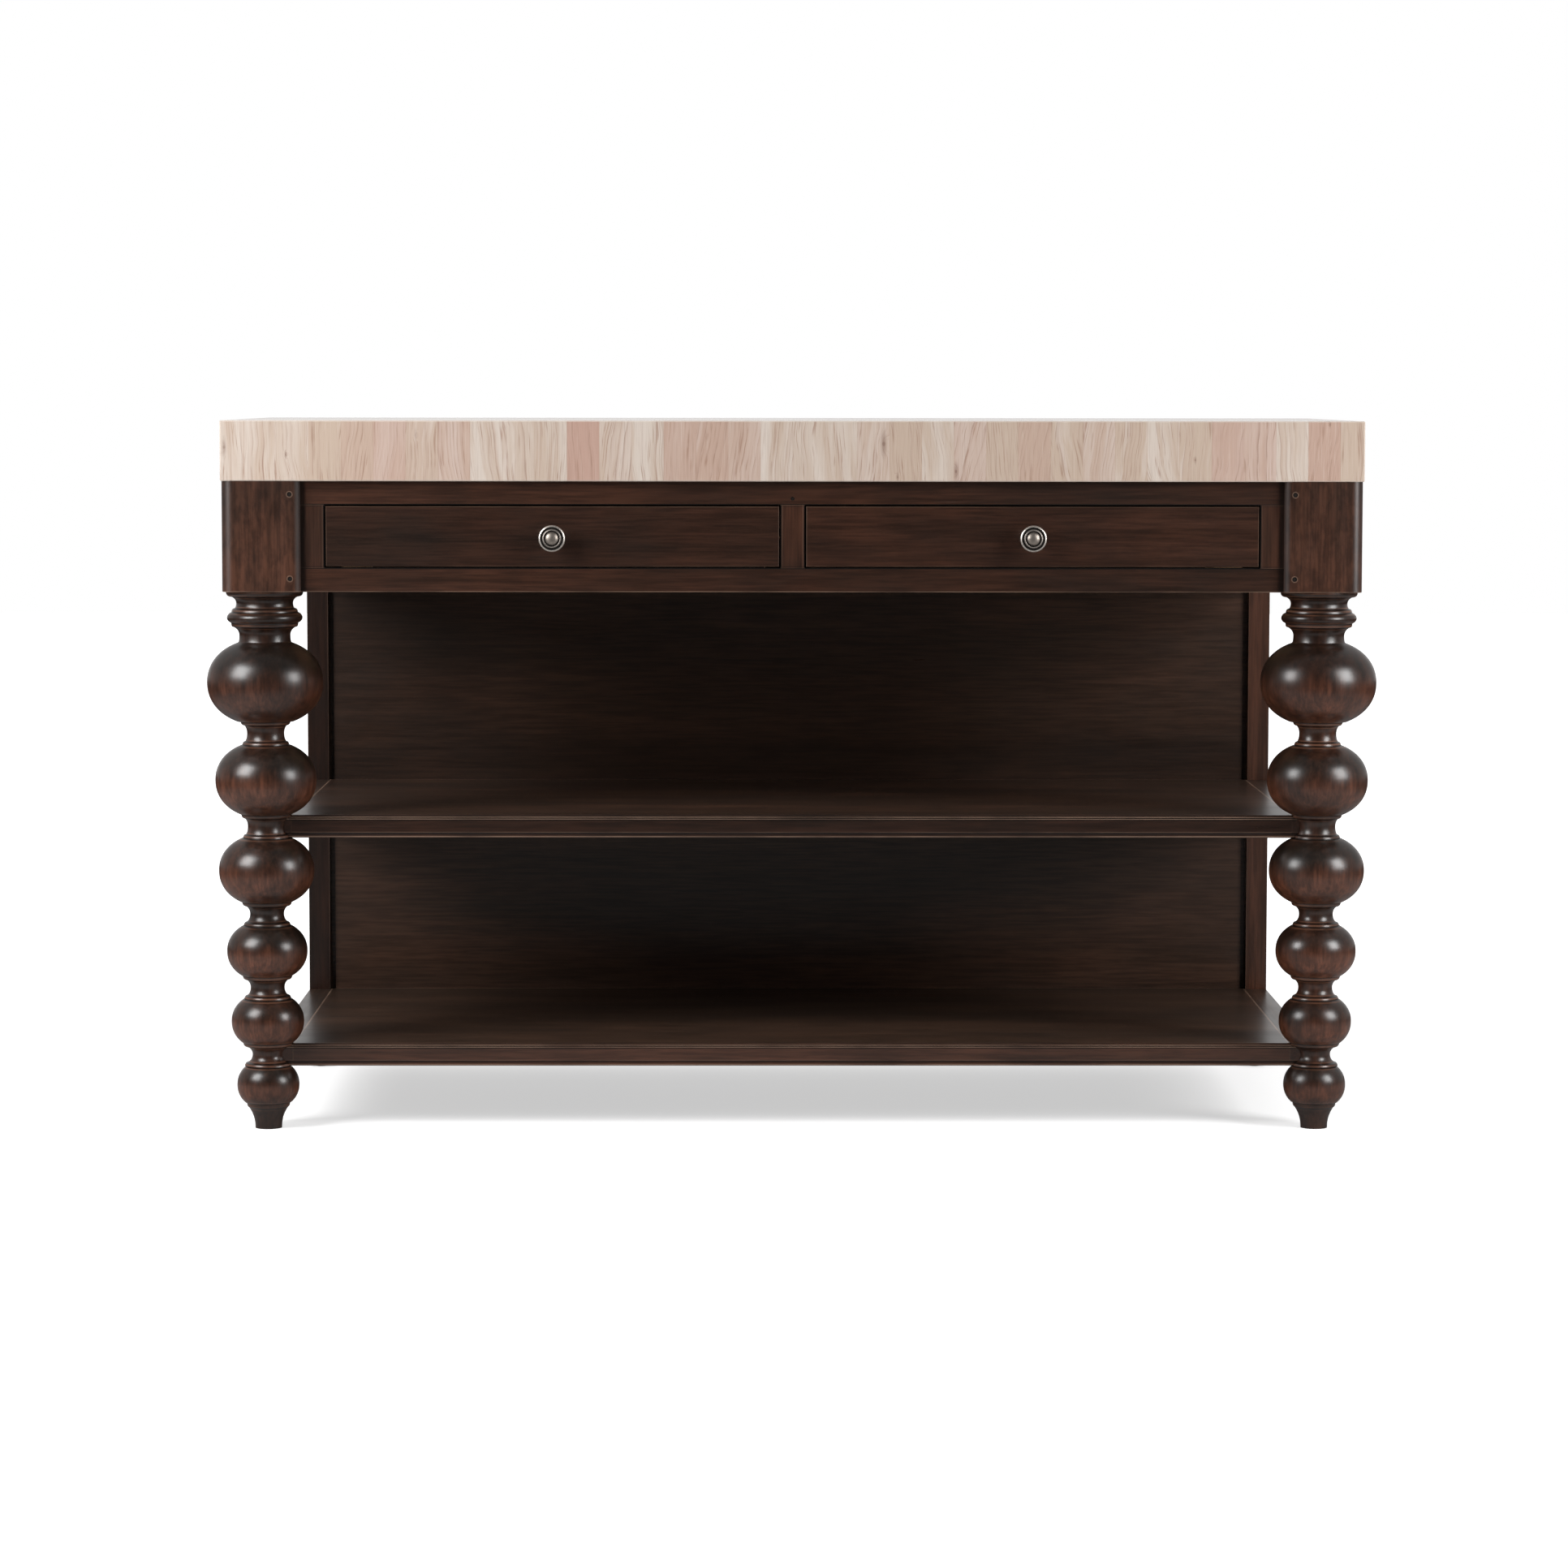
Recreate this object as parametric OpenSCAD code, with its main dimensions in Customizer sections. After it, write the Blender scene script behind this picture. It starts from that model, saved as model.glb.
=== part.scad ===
// Kitchen island with a thick end grain block top, two inset drawers, two turned front legs,
// two square back posts, a back panel and two open shelves.
// Millimetres. +Z is up, +X is to the right, the drawers face -Y.
// The origin is on the floor, in the middle of the overall length and depth.

/* [Overall] */
// Height of the work surface above the floor
island_h = 921; // [850:1:990]
// Length of the block top
top_w = 1468; // [1200:1:1900]
// Depth of the block top
top_d = 635; // [580:1:760]
// Thickness of the block top
top_t = 77.5; // [40:0.5:100]
// Bevel on the edges of the block top
top_bevel = 1.2; // [0.4:0.1:3]

/* [Front legs] */
// Side of the square block at the head of a leg
block_w = 101; // [80:1:130]
// How far the leg blocks stand in from the edge of the top
block_inset = 0.5; // [0.2:0.1:10]
// Radius of the outer front corner of the leg block
block_round = 14.5; // [6:0.5:30]
// Radius of the other corners of the leg block
block_ease = 7; // [2:0.5:10]
// Height of the foot under the lowest bulb
foot_h = 34; // [26:0.1:45]
// Radius of the foot where it meets the floor
foot_r = 17.4; // [12:0.2:24]
// Radius of the top of the foot
foot_top_r = 25; // [20:0.2:26.4]
// Radius of the collar over the foot
collar_r = 28; // [27:0.2:32]
// Radius of the first bulb, the largest, under the block
bulb_1_r = 75; // [60:0.1:90]
// Radius of the second bulb
bulb_2_r = 65.4; // [50:0.1:80]
// Radius of the third bulb
bulb_3_r = 61.7; // [50:0.1:75]
// Radius of the fourth bulb
bulb_4_r = 52.1; // [44:0.1:70]
// Radius of the fifth bulb
bulb_5_r = 47; // [42:0.1:60]
// Radius of the sixth bulb, the smallest
bulb_6_r = 40.3; // [37:0.1:55]
// Height of the second bulb
bulb_2_h = 90.5; // [70:0.1:100]
// Height of the third bulb
bulb_3_h = 83.8; // [60:0.1:95]
// Height of the fourth bulb
bulb_4_h = 65.7; // [50:0.1:80]
// Height of the fifth bulb
bulb_5_h = 57.2; // [45:0.1:70]
// Height of the sixth bulb
bulb_6_h = 47.6; // [40:0.1:60]
// How square the bulbs are: 2 is a plain ellipse
bulb_fullness = 2.15; // [2:0.05:2.8]
// Height of each neck between two bulbs
neck_h = 30.6; // [30.2:0.2:40]
// Radius of the two upper necks between bulbs
neck_upper_r = 24; // [20:0.2:25]
// Radius of the two middle necks between bulbs
neck_middle_r = 22; // [18:0.2:25]
// Radius of the lowest neck between bulbs
neck_lower_r = 20.2; // [16:0.2:24]
// Radius of the ring that closes the underside of a bulb
ring_upper_r = 32.2; // [29.4:0.2:33]
// Radius of the ring that starts the top of a bulb
ring_lower_r = 30.2; // [28.4:0.2:30.8]
// Height of the turned neck and bead between the block and the first bulb
head_h = 67; // [62:0.2:80]
// Radius of the disc under the block
cap_r = 49.8; // [46:0.2:50]
// Radius of the bead under the block
bead_r = 48.8; // [44:0.2:52]
// Radius of the cove over the bead
cove_over_r = 36.6; // [32:0.2:38]
// Radius of the cove under the bead
cove_under_r = 33; // [28:0.2:33.4]

/* [Face frame] */
// Depth of the apron, from the underside of the top to its own lower edge
apron_h = 142.5; // [120:0.5:200]
// How far the face frame stands behind the front of the leg blocks
frame_setback = 12; // [9:0.5:20]
// Thickness of the face frame
frame_t = 22; // [18:0.5:28]
// Height of the upper rail
rail_upper_h = 30.4; // [26:0.2:45]
// Height of the lower rail
rail_lower_h = 30.8; // [26:0.2:45]
// Width of the stile beside each leg block
stile_w = 30.5; // [24:0.5:50]
// Width of the mullion between the drawers
mullion_w = 31; // [24:0.5:60]
// Length of the rail tenons in the leg blocks
rail_tenon = 30; // [24:1:40]
// Length of the stile and mullion tenons in the rails
stile_tenon = 14; // [8:1:18]
// Thickness of all the frame tenons
tenon_t = 10; // [6:0.5:12]
// Shoulder at each edge of a tenon
tenon_shoulder = 4; // [2:0.5:6]
// Radius of the pegs in the leg blocks
peg_r = 2.8; // [2:0.1:4.5]
// Distance of those pegs from the inner face of the leg block
peg_in = 12.8; // [10:0.2:18]
// How far those pegs stand off the middle of the rails, towards the drawers
peg_off = 1.8; // [0:0.1:4]
// Radius of the peg over the mullion
peg_small_r = 2.4; // [1.5:0.1:3.5]
// How deep the peg heads sit below the wood
peg_recess = 0.6; // [0.2:0.1:1.5]

/* [Back and sides] */
// Width of a back post, seen from the front
post_w = 29.5; // [24:0.5:60]
// Depth of a back post
post_d = 28; // [25:0.5:60]
// How far the back posts stand in from the ends of the top
post_inset = 54; // [20:1:120]
// How far the posts stand in from the back edge of the top
back_inset = 0.5; // [0.2:0.1:20]
// Thickness of the side aprons
side_apron_t = 20; // [16:0.5:26]
// Thickness of the rail across the back, behind the drawers
back_rail_t = 17; // [12:0.5:18]
// Thickness of the back panel
panel_t = 12; // [6:0.5:14]
// How far the back panel stands behind the front of the posts
panel_setback = 9.5; // [4:0.5:12]
// How far the back panel laps into the posts and the back rail
panel_lap = 8; // [5:0.5:12]
// Width of the shadow line down each side of the back panel
panel_reveal_w = 7; // [3:0.5:12]
// Depth of that shadow line
panel_reveal_d = 3; // [1:0.5:5]
// Radius of the floor glide under each back post
glide_r = 8; // [5:0.5:12]
// Height of those glides
glide_h = 4; // [2:0.5:8]

/* [Shelves] */
// Thickness of the shelves
shelf_t = 29.4; // [22:0.2:29.4]
// How far the shelf front stands ahead of the leg centres
shelf_nose = 8; // [2:0.5:16]
// Width of the end board of a shelf
shelf_end_w = 30; // [22:0.5:60]
// How far the shelf ends stand in from the outer faces of the posts
shelf_end_inset = 0.5; // [0:0.1:6]
// Thickness of the tongue between a shelf and its end boards
tongue_t = 9; // [6:0.5:12]
// Length of that tongue
tongue_l = 10; // [6:0.5:12]
// Radius of the dowels that hold the shelf ends
dowel_r = 3.5; // [2.5:0.1:4]
// Length of those dowels
dowel_l = 46; // [40:1:60]

/* [Drawers] */
// Gap round each drawer front
drawer_gap = 2; // [0.8:0.1:3]
// Thickness of the drawer fronts
front_t = 20; // [16:0.5:24]
// Length of the drawer, from its front face to its back
drawer_l = 480; // [380:1:520]
// Thickness of the drawer sides and back
side_t = 12; // [9:0.5:16]
// Thickness of the drawer bottom
bottom_t = 6; // [4:0.5:8]
// Height of the drawer bottom over the lower edge of the sides
bottom_up = 8.4; // [6.6:0.2:12]
// Depth of the grooves that hold the drawer bottom
groove_d = 5; // [3:0.5:7]
// Wood left in front of the dovetails
lap_t = 8; // [5:0.5:10]
// Number of dovetails at each corner
tail_count = 3; // [2:1:4]
// Slope of the dovetails in degrees
tail_angle = 9; // [6:0.5:12]
// How far a drawer slides out
drawer_travel = 380; // [250:5:390]
// Bevel round the drawer fronts
front_bevel = 0.9; // [0.3:0.1:2]

/* [Drawer carriage] */
// Thickness of the runners and kickers
runner_t = 20; // [14:0.5:28]
// How far the runners and kickers reach under and over a drawer side
runner_reach = 20; // [14:0.5:40]
// Height of the guides beside the drawer
guide_h = 20; // [12:1:40]
// Gap between a drawer side and its runner
runner_gap = 0.3; // [0.2:0.1:1]
// Length of the stop blocks behind a closed drawer
stop_l = 22; // [12:1:40]

/* [Knobs] */
// Radius of a knob
knob_r = 17.2; // [12:0.2:24]
// How far a knob stands out from the drawer front
knob_out = 27; // [20:0.5:40]
// Radius of the knob's stem
knob_stem_r = 6.4; // [5:0.2:9]
// Radius of the knob's foot on the drawer front
knob_foot_r = 9.6; // [8:0.2:14]
// How far the knobs sit below the middle of the drawer fronts
knob_drop = 2; // [0:0.5:6]

/* [Hidden] */

$fn = 72;
eps = 1;
left = -1;
right = 1;

dark_wood = "#3b241c";
block_wood = "#d9c4b2";
drawer_wood = "#c9a880";
pewter = "#8b857c";
steel = "#b9b9b5";

// Heights of the main levels
top_z = island_h - top_t;
apron_z = top_z - apron_h;
opening_z = apron_z + rail_lower_h;
opening_h = apron_h - rail_upper_h - rail_lower_h;

// Plan positions
leg_x = top_w/2 - block_inset - block_w/2;
overall_d = top_d + max(0, bulb_1_r - block_inset - block_w/2);
top_front_y = overall_d/2 - top_d;
top_back_y = overall_d/2;
block_front_y = top_front_y + block_inset;
leg_y = block_front_y + block_w/2;
block_inner_x = leg_x - block_w/2;
frame_front_y = block_front_y + frame_setback;
frame_back_y = frame_front_y + frame_t;
opening_x0 = mullion_w/2;
opening_x1 = block_inner_x - stile_w;
opening_w = opening_x1 - opening_x0;
post_outer_x = top_w/2 - post_inset;
post_inner_x = post_outer_x - post_w;
post_back_y = top_back_y - back_inset;
post_front_y = post_back_y - post_d;
panel_front_y = post_front_y + panel_setback;
panel_back_y = panel_front_y + panel_t;

// Levels of the turned leg, from the floor up. A bulb lies between two necks.
bulb_6_z = foot_h;
neck_5_z = bulb_6_z + bulb_6_h;
bulb_5_z = neck_5_z + neck_h;
neck_4_z = bulb_5_z + bulb_5_h;
bulb_4_z = neck_4_z + neck_h;
neck_3_z = bulb_4_z + bulb_4_h;
bulb_3_z = neck_3_z + neck_h;
neck_2_z = bulb_3_z + bulb_3_h;
bulb_2_z = neck_2_z + neck_h;
neck_1_z = bulb_2_z + bulb_2_h;
bulb_1_z = neck_1_z + neck_h;
head_z = apron_z - head_h;
bulb_1_h = head_z - bulb_1_z;

// The shelves lie in the second and the fifth neck
shelf_drop = 0.8;
mid_shelf_z = bulb_2_z - shelf_drop - shelf_t;
low_shelf_z = bulb_5_z - shelf_drop - shelf_t;
shelf_front_y = leg_y - shelf_nose;
shelf_outer_x = post_outer_x - shelf_end_inset;
shelf_seam_x = shelf_outer_x - shelf_end_w;
// Gap round the leg where a shelf end is cut to its neck
cope_gap = 0.3;
// The tongue starts behind the leg
tongue_y = leg_y + ring_upper_r + 8;
tongue_end = 12;
// Dowels start ahead of the leg's axis and end inside the post
dowel_x = shelf_outer_x - 8;
dowel_gap = 0.05;
dowel_ahead = 3;
dowel_in_post = 14;
// Room left at the blind end of a bore
bore_end = 0.5;

// Bulb ends and ring sizes of the turning. The first bulb is larger and the last one smaller.
bulb_top_end_r = 31;
bulb_low_end_r = 33;
first_end_more = 4;
last_end_less = 2.6;
bulb_steps = 20;
hollow_steps = 7;
hollow_start = 20;
ring_steps = 4;
ring_upper_h = 5;
ring_lower_h = 4.4;
upper_edge_r = 28.6;
lower_edge_r = 27.4;

// Drawer box
drawer_w = opening_w - 2*drawer_gap;
drawer_h = opening_h - 2*drawer_gap;
drawer_z = opening_z + drawer_gap;
side_top_drop = 1;
side_h = drawer_h - side_top_drop;
drawer_back_y = frame_front_y + drawer_l;
opening_mid_x = (opening_x0 + opening_x1)/2;
runner_top_z = drawer_z - runner_gap;
runner_end_gap = 0.2;
kicker_z = opening_z + opening_h;
stop_gap = 0.4;
tab_t = 12;
tab_w = 42;
tab_over = 14;
tab_down = 34;
tab_front_y = drawer_back_y - side_t - tab_t;
pull_block_w = 90;
pull_gap = 0.5;

// Screws
top_screw_r = 2.5;
top_screw_l = 62;
top_screw_head_r = 5;
top_screw_head_h = 3;
top_screw_sink = 4;
panel_screw_r = 1.8;
panel_screw_l = 30;
panel_screw_head_r = 4;
panel_screw_head_h = 2;
screw_gap = 0.05;
knob_screw_r = 2;
knob_screw_head_r = 4.2;
knob_screw_head_h = 2.4;
knob_screw_in = 12;

// A bar along X whose section is given in Y and Z
module along_x(x0, x1) {
  translate([x0, 0, 0]) rotate([90, 0, 90]) linear_extrude(x1 - x0) children();
}

// A bar along Y whose section is given in X and Z
module along_y(y0, y1) {
  translate([0, y1, 0]) rotate([90, 0, 0]) linear_extrude(y1 - y0) children();
}

// A plain board between two corners
module board(a, b) {
  translate(a) cube(b - a);
}

// A rectangle with its four corners cut at 45 degrees
function bevel_rect(a, b, c) = [
  [a[0] + c, a[1]], [b[0] - c, a[1]], [b[0], a[1] + c], [b[0], b[1] - c],
  [b[0] - c, b[1]], [a[0] + c, b[1]], [a[0], b[1] - c], [a[0], a[1] + c]
];

// A rectangle with two of its corners cut at 45 degrees, on its low side in Y
function bevel_front_rect(a, b, c) = [
  [a[0] + c, a[1]], [b[0] - c, a[1]], [b[0], a[1] + c], b, [a[0], b[1]], [a[0], a[1] + c]
];

// The right hand piece as drawn, or its mirror image on the left
module on_side(side) {
  if (side == left) mirror([1, 0, 0]) children();
  else children();
}

// The turned profile

// Points on an ellipse about [cr, cz], from angle a0 to angle a1
function ellipse_arc(cr, cz, ar, az, a0, a1, steps) = [
  for (i = [0:steps]) let (a = a0 + (a1 - a0)*i/steps) [cr + ar*cos(a), cz + az*sin(a)]
];

// One half of a rounded hollow, from its edge at [r0, z0] to its deepest point at [r1, z1]
function hollow_half(r0, z0, r1, z1) = [
  for (i = [0:hollow_steps]) let (a = hollow_start + (90 - hollow_start)*i/hollow_steps)
    [r1 + (r0 - r1)*(1 - sin(a))/(1 - sin(hollow_start)), z1 + (z0 - z1)*cos(a)/cos(hollow_start)]
];

// A hollow from its upper edge down to its lower edge, deepest at radius r and height z
function hollow_points(upper_r, upper_z, r, z, lower_r, lower_z) =
  let (low = hollow_half(lower_r, lower_z, r, z))
  concat(hollow_half(upper_r, upper_z, r, z), [for (i = [hollow_steps - 1:-1:0]) low[i]]);

// How far up its full curve a bulb of radius r reaches where its radius is end_r
function bulb_part(r, end_r) = pow(1 - pow(end_r/r, bulb_fullness), 1/bulb_fullness);

// One point of a bulb, at angle a on its curve
function bulb_point(r, mid_z, reach, a) = [
  r*pow(cos(a), 2/bulb_fullness),
  mid_z + sign(a)*reach*pow(abs(sin(a)), 2/bulb_fullness)
];

// A bulb from its top to its underside, cut off where its radius falls to the end radii
function bulb_points(z, h, r, top_end_r, low_end_r) =
  let (up = bulb_part(r, top_end_r), down = bulb_part(r, low_end_r), reach = h/(up + down))
  let (a0 = acos(pow(top_end_r/r, bulb_fullness/2)))
  let (a1 = -acos(pow(low_end_r/r, bulb_fullness/2)))
  [for (i = [0:bulb_steps]) bulb_point(r, z + reach*down, reach, a0 + (a1 - a0)*i/bulb_steps)];

// A ring that rounds downwards and in, from radius r at its top edge
function ring_down(z, h, r, root_r) = ellipse_arc(root_r, z + h, r - root_r, h, 0, -82, ring_steps);

// A ring that rounds outwards and down, to radius r at its lower edge
function ring_out(z, h, r, root_r) = ellipse_arc(root_r, z, r - root_r, h, 82, 0, ring_steps);

// A neck between two bulbs: a ring, a hollow and a second ring
function neck_points(z, r) =
  let (upper_z = z + neck_h - ring_upper_h, lower_z = z + ring_lower_h)
  concat(
    ring_down(upper_z, ring_upper_h, ring_upper_r, upper_edge_r),
    hollow_points(upper_edge_r - 0.4, upper_z, r, (upper_z + lower_z)/2, lower_edge_r - 0.4, lower_z),
    ring_out(z, ring_lower_h, ring_lower_r, lower_edge_r)
  );

// The head of the turning, between the block and the first bulb
cap_h = 7.2;
cap_round = 4.8;
over_h = 15.6;
over_edge_r = 44;
step_h = 4.8;
step_r = 42.8;
step_root_r = 39.4;
bead_h = 14.2;
bead_root_r = 40.2;
fillet_h = 4.6;
fillet_r = 43.2;
function head_points() =
  let (over_z = apron_z - cap_h - over_h, step_z = over_z - step_h)
  let (bead_z = step_z - bead_h, fillet_z = bead_z - fillet_h)
  concat(
    [[0, apron_z + eps], [cap_r, apron_z + eps]],
    ellipse_arc(cap_r - cap_round, apron_z - 1.4, cap_round, cap_h - 1.4, 0, -84, ring_steps + 2),
    hollow_points(over_edge_r, over_z + over_h, cove_over_r, over_z + over_h*0.44,
      step_root_r - 0.4, over_z),
    ring_out(step_z, step_h, step_r, step_root_r),
    ellipse_arc(bead_root_r, bead_z + bead_h/2, bead_r - bead_root_r, bead_h/2, 64, -66,
      2*ring_steps),
    ring_down(fillet_z, fillet_h - 0.4, fillet_r, fillet_r - 1.6),
    hollow_points(fillet_r - 2, fillet_z, cove_under_r, (fillet_z + head_z)/2 - 0.6, 34, head_z + 1)
  );

// The foot and the collar over it
collar_h = 5.4;
collar_gap = 1;
foot_steps = 8;
foot_curve = 2.3;
function foot_points() =
  let (collar_z = foot_h - collar_gap - collar_h, taper_z = collar_z - 1)
  concat(
    ring_down(collar_z, collar_h, collar_r, collar_r - 2.4),
    [for (i = [0:foot_steps]) let (t = i/foot_steps)
      [foot_r + (foot_top_r - foot_r)*pow(1 - t, foot_curve), taper_z*(1 - t)]],
    [[0, 0]]
  );

// The whole turned part of the leg, from the block down to the floor
function leg_points() = concat(
  head_points(),
  bulb_points(bulb_1_z, bulb_1_h, bulb_1_r, bulb_top_end_r + first_end_more,
    bulb_low_end_r + first_end_more),
  neck_points(neck_1_z, neck_upper_r),
  bulb_points(bulb_2_z, bulb_2_h, bulb_2_r, bulb_top_end_r, bulb_low_end_r),
  neck_points(neck_2_z, neck_upper_r),
  bulb_points(bulb_3_z, bulb_3_h, bulb_3_r, bulb_top_end_r, bulb_low_end_r),
  neck_points(neck_3_z, neck_middle_r),
  bulb_points(bulb_4_z, bulb_4_h, bulb_4_r, bulb_top_end_r, bulb_low_end_r),
  neck_points(neck_4_z, neck_middle_r),
  bulb_points(bulb_5_z, bulb_5_h, bulb_5_r, bulb_top_end_r, bulb_low_end_r),
  neck_points(neck_5_z, neck_lower_r),
  bulb_points(bulb_6_z, bulb_6_h, bulb_6_r, bulb_top_end_r - last_end_less,
    bulb_low_end_r - last_end_less),
  foot_points()
);

// Plan of the leg block, with its large round on the outer front corner
module block_outline() {
  a = block_w/2;
  difference() {
    translate([-a, -a]) square(block_w);
    translate([a - block_round, -a]) corner_cut(block_round, 1);
    translate([-a, -a]) mirror([1, 0]) translate([-block_ease, 0]) corner_cut(block_ease, 1);
    translate([a - block_ease, a]) mirror([0, 1]) corner_cut(block_ease, 1);
  }
}

// What is cut off a square corner at the low Y, high X side to round it
module corner_cut(r, over) {
  difference() {
    translate([0, -over]) square([r + over, r + over]);
    translate([0, r]) circle(r);
  }
}

// Tenons of the frame, drawn where the frame stands, grown by a gap for their mortises

// End tenon of a front rail, in the right hand leg block
module rail_end_tenon(z, h, gap) {
  tenon_y = frame_front_y + (frame_t - tenon_t)/2;
  board([block_inner_x - eps, tenon_y - gap, z + tenon_shoulder - gap],
    [block_inner_x + rail_tenon + gap, tenon_y + tenon_t + gap, z + h - tenon_shoulder + gap]);
}

// Upright tenons of a stile or the mullion, between x0 and x1
module upright_tenons(x0, x1, gap) {
  tenon_y = frame_front_y + (frame_t - tenon_t)/2;
  board([x0 + tenon_shoulder - gap, tenon_y - gap, opening_z - stile_tenon - gap],
    [x1 - tenon_shoulder + gap, tenon_y + tenon_t + gap,
      opening_z + opening_h + stile_tenon + gap]);
}

// Tenons of the right hand side apron, in the leg block and in the post
side_tenon_front = 25;
side_tenon_back = 14;
side_tenon_shoulder = 12;
module side_apron_tenons(gap) {
  x = post_outer_x - side_apron_t/2;
  board([x - tenon_t/2 - gap, leg_y + block_w/2 - side_tenon_front - gap,
      apron_z + side_tenon_shoulder - gap],
    [x + tenon_t/2 + gap, post_front_y + side_tenon_back + gap,
      top_z - side_tenon_shoulder + gap]);
}

// Tenon of the back rail in the right hand post
back_tenon_l = 12;
back_tenon_t = 7;
module back_rail_tenon(gap) {
  y = panel_front_y + (back_rail_t - back_tenon_t)/2;
  board([post_inner_x - eps, y - gap, apron_z + side_tenon_shoulder - gap],
    [post_inner_x + back_tenon_l + gap, y + back_tenon_t + gap,
      top_z - side_tenon_shoulder + gap]);
}

tenon_gap = 0.1;

// Pegs that lock the rail tenons in the leg blocks, right hand side
peg_l = 40;
module rail_pegs(r, y0) {
  for (z = [apron_z + rail_lower_h/2 + peg_off, top_z - rail_upper_h/2 - peg_off])
    translate([block_inner_x + peg_in, y0, z]) rotate([-90, 0, 0])
      cylinder(r = r, h = block_front_y + peg_l - y0);
}

// Peg over the mullion
mullion_peg_z = opening_z + opening_h + 8;
mullion_peg_l = 16;
module mullion_peg(r, y0) {
  translate([0, y0, mullion_peg_z]) rotate([-90, 0, 0])
    cylinder(r = r, h = frame_front_y + mullion_peg_l - y0);
}

// Dowels between the right hand shelf end at height z, the leg and the post
module end_dowels(z, r, grow) {
  for (y0 = [leg_y - dowel_ahead, post_front_y + dowel_in_post - dowel_l])
    translate([dowel_x, y0 - grow, z + shelf_t/2]) rotate([-90, 0, 0])
      cylinder(r = r, h = dowel_l + 2*grow);
}

module front_leg(side) {
  color(dark_wood)
  on_side(side)
  difference() {
    translate([leg_x, leg_y, 0]) {
      rotate_extrude() polygon(leg_points());
      translate([0, 0, apron_z]) linear_extrude(apron_h) block_outline();
    }
    rail_end_tenon(apron_z, rail_lower_h, tenon_gap);
    rail_end_tenon(top_z - rail_upper_h, rail_upper_h, tenon_gap);
    side_apron_tenons(tenon_gap);
    rail_pegs(peg_r + dowel_gap, block_front_y - eps);
    end_dowels(mid_shelf_z, dowel_r + dowel_gap, bore_end);
    end_dowels(low_shelf_z, dowel_r + dowel_gap, bore_end);
  }
}

module back_post(side) {
  color(dark_wood)
  on_side(side)
  difference() {
    board([post_inner_x, post_front_y, glide_h], [post_outer_x, post_back_y, top_z]);
    // Rebate for the back panel
    board([post_inner_x - eps, panel_front_y, low_shelf_z],
      [post_inner_x + panel_lap, post_back_y + eps, apron_z + panel_lap]);
    side_apron_tenons(tenon_gap);
    back_rail_tenon(tenon_gap);
    end_dowels(mid_shelf_z, dowel_r + dowel_gap, bore_end);
    end_dowels(low_shelf_z, dowel_r + dowel_gap, bore_end);
    post_screws(panel_screw_r + screw_gap, bore_end);
    glide_nail(glide_nail_r + screw_gap, bore_end);
  }
}

// Nail of the glide under the right hand back post
glide_nail_r = 1.6;
glide_nail_l = 18;
module glide_nail(r, grow) {
  translate([post_outer_x - post_w/2, post_back_y - post_d/2, glide_h - eps])
    cylinder(r = r, h = glide_nail_l + grow + eps);
}

// Floor glides: a disc with its lower edge eased, and a nail in the post
glide_ease = 1;
module floor_glides() {
  color(steel)
  for (side = [left, right]) on_side(side) {
    translate([post_outer_x - post_w/2, post_back_y - post_d/2, 0]) rotate_extrude()
      polygon([[0, 0], [glide_r - glide_ease, 0], [glide_r, glide_ease], [glide_r, glide_h],
        [0, glide_h]]);
    glide_nail(glide_nail_r, 0);
  }
}

module side_apron(side) {
  color(dark_wood)
  on_side(side) {
    board([post_outer_x - side_apron_t, leg_y + block_w/2, apron_z],
      [post_outer_x, post_front_y, top_z]);
    side_apron_tenons(0);
  }
}

// Rail across the back, with a groove under it for the top edge of the panel
module back_rail() {
  color(dark_wood)
  difference() {
    union() {
      board([-post_inner_x, panel_front_y, apron_z],
        [post_inner_x, panel_front_y + back_rail_t, top_z]);
      for (side = [left, right]) on_side(side) back_rail_tenon(0);
    }
    board([-post_inner_x - eps, panel_front_y + 2, apron_z - eps],
      [post_inner_x + eps, panel_back_y + 0.2, apron_z + panel_lap + 0.2]);
  }
}

// Back panel with a shadow line down each side, seated in the posts and the back rail
module back_panel() {
  edge = post_inner_x + panel_lap - 0.2;
  color(dark_wood)
  difference() {
    board([-edge, panel_front_y + tenon_gap, low_shelf_z], [edge, panel_back_y, apron_z + panel_lap]);
    // Tongue at the top, thinner than the panel
    board([-edge - eps, panel_front_y - eps, apron_z - 0.1],
      [edge + eps, panel_front_y + 2.2, apron_z + panel_lap + eps]);
    for (side = [left, right]) on_side(side)
      board([post_inner_x - panel_reveal_w, panel_front_y - eps, low_shelf_z - eps],
        [post_inner_x + 0.01, panel_front_y + panel_reveal_d, apron_z]);
    post_screws(panel_screw_r + screw_gap, bore_end);
    on_side(left) post_screws(panel_screw_r + screw_gap, bore_end);
    shelf_screws(panel_screw_r + screw_gap, bore_end);
  }
}

// Heights of the screws from the back panel into a post
post_screw_z = [low_shelf_z + 50, (low_shelf_z + apron_z)/2, apron_z - 50];
post_screw_l = panel_t + panel_setback - 2.5;
module post_screws(r, grow) {
  for (z = post_screw_z) back_screw(post_inner_x + panel_lap/2, z, r, grow, post_screw_l);
}

// Screws from the back panel into the back edges of the shelves
shelf_screw_count = 5;
shelf_screw_reach = shelf_seam_x - 60;
shelf_screw_x = [for (i = [0:shelf_screw_count - 1])
  (2*i/(shelf_screw_count - 1) - 1)*shelf_screw_reach];
module shelf_screws(r, grow) {
  for (z = [low_shelf_z, mid_shelf_z], x = shelf_screw_x)
    back_screw(x, z + shelf_t/2, r, grow, panel_screw_l);
}

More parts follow.
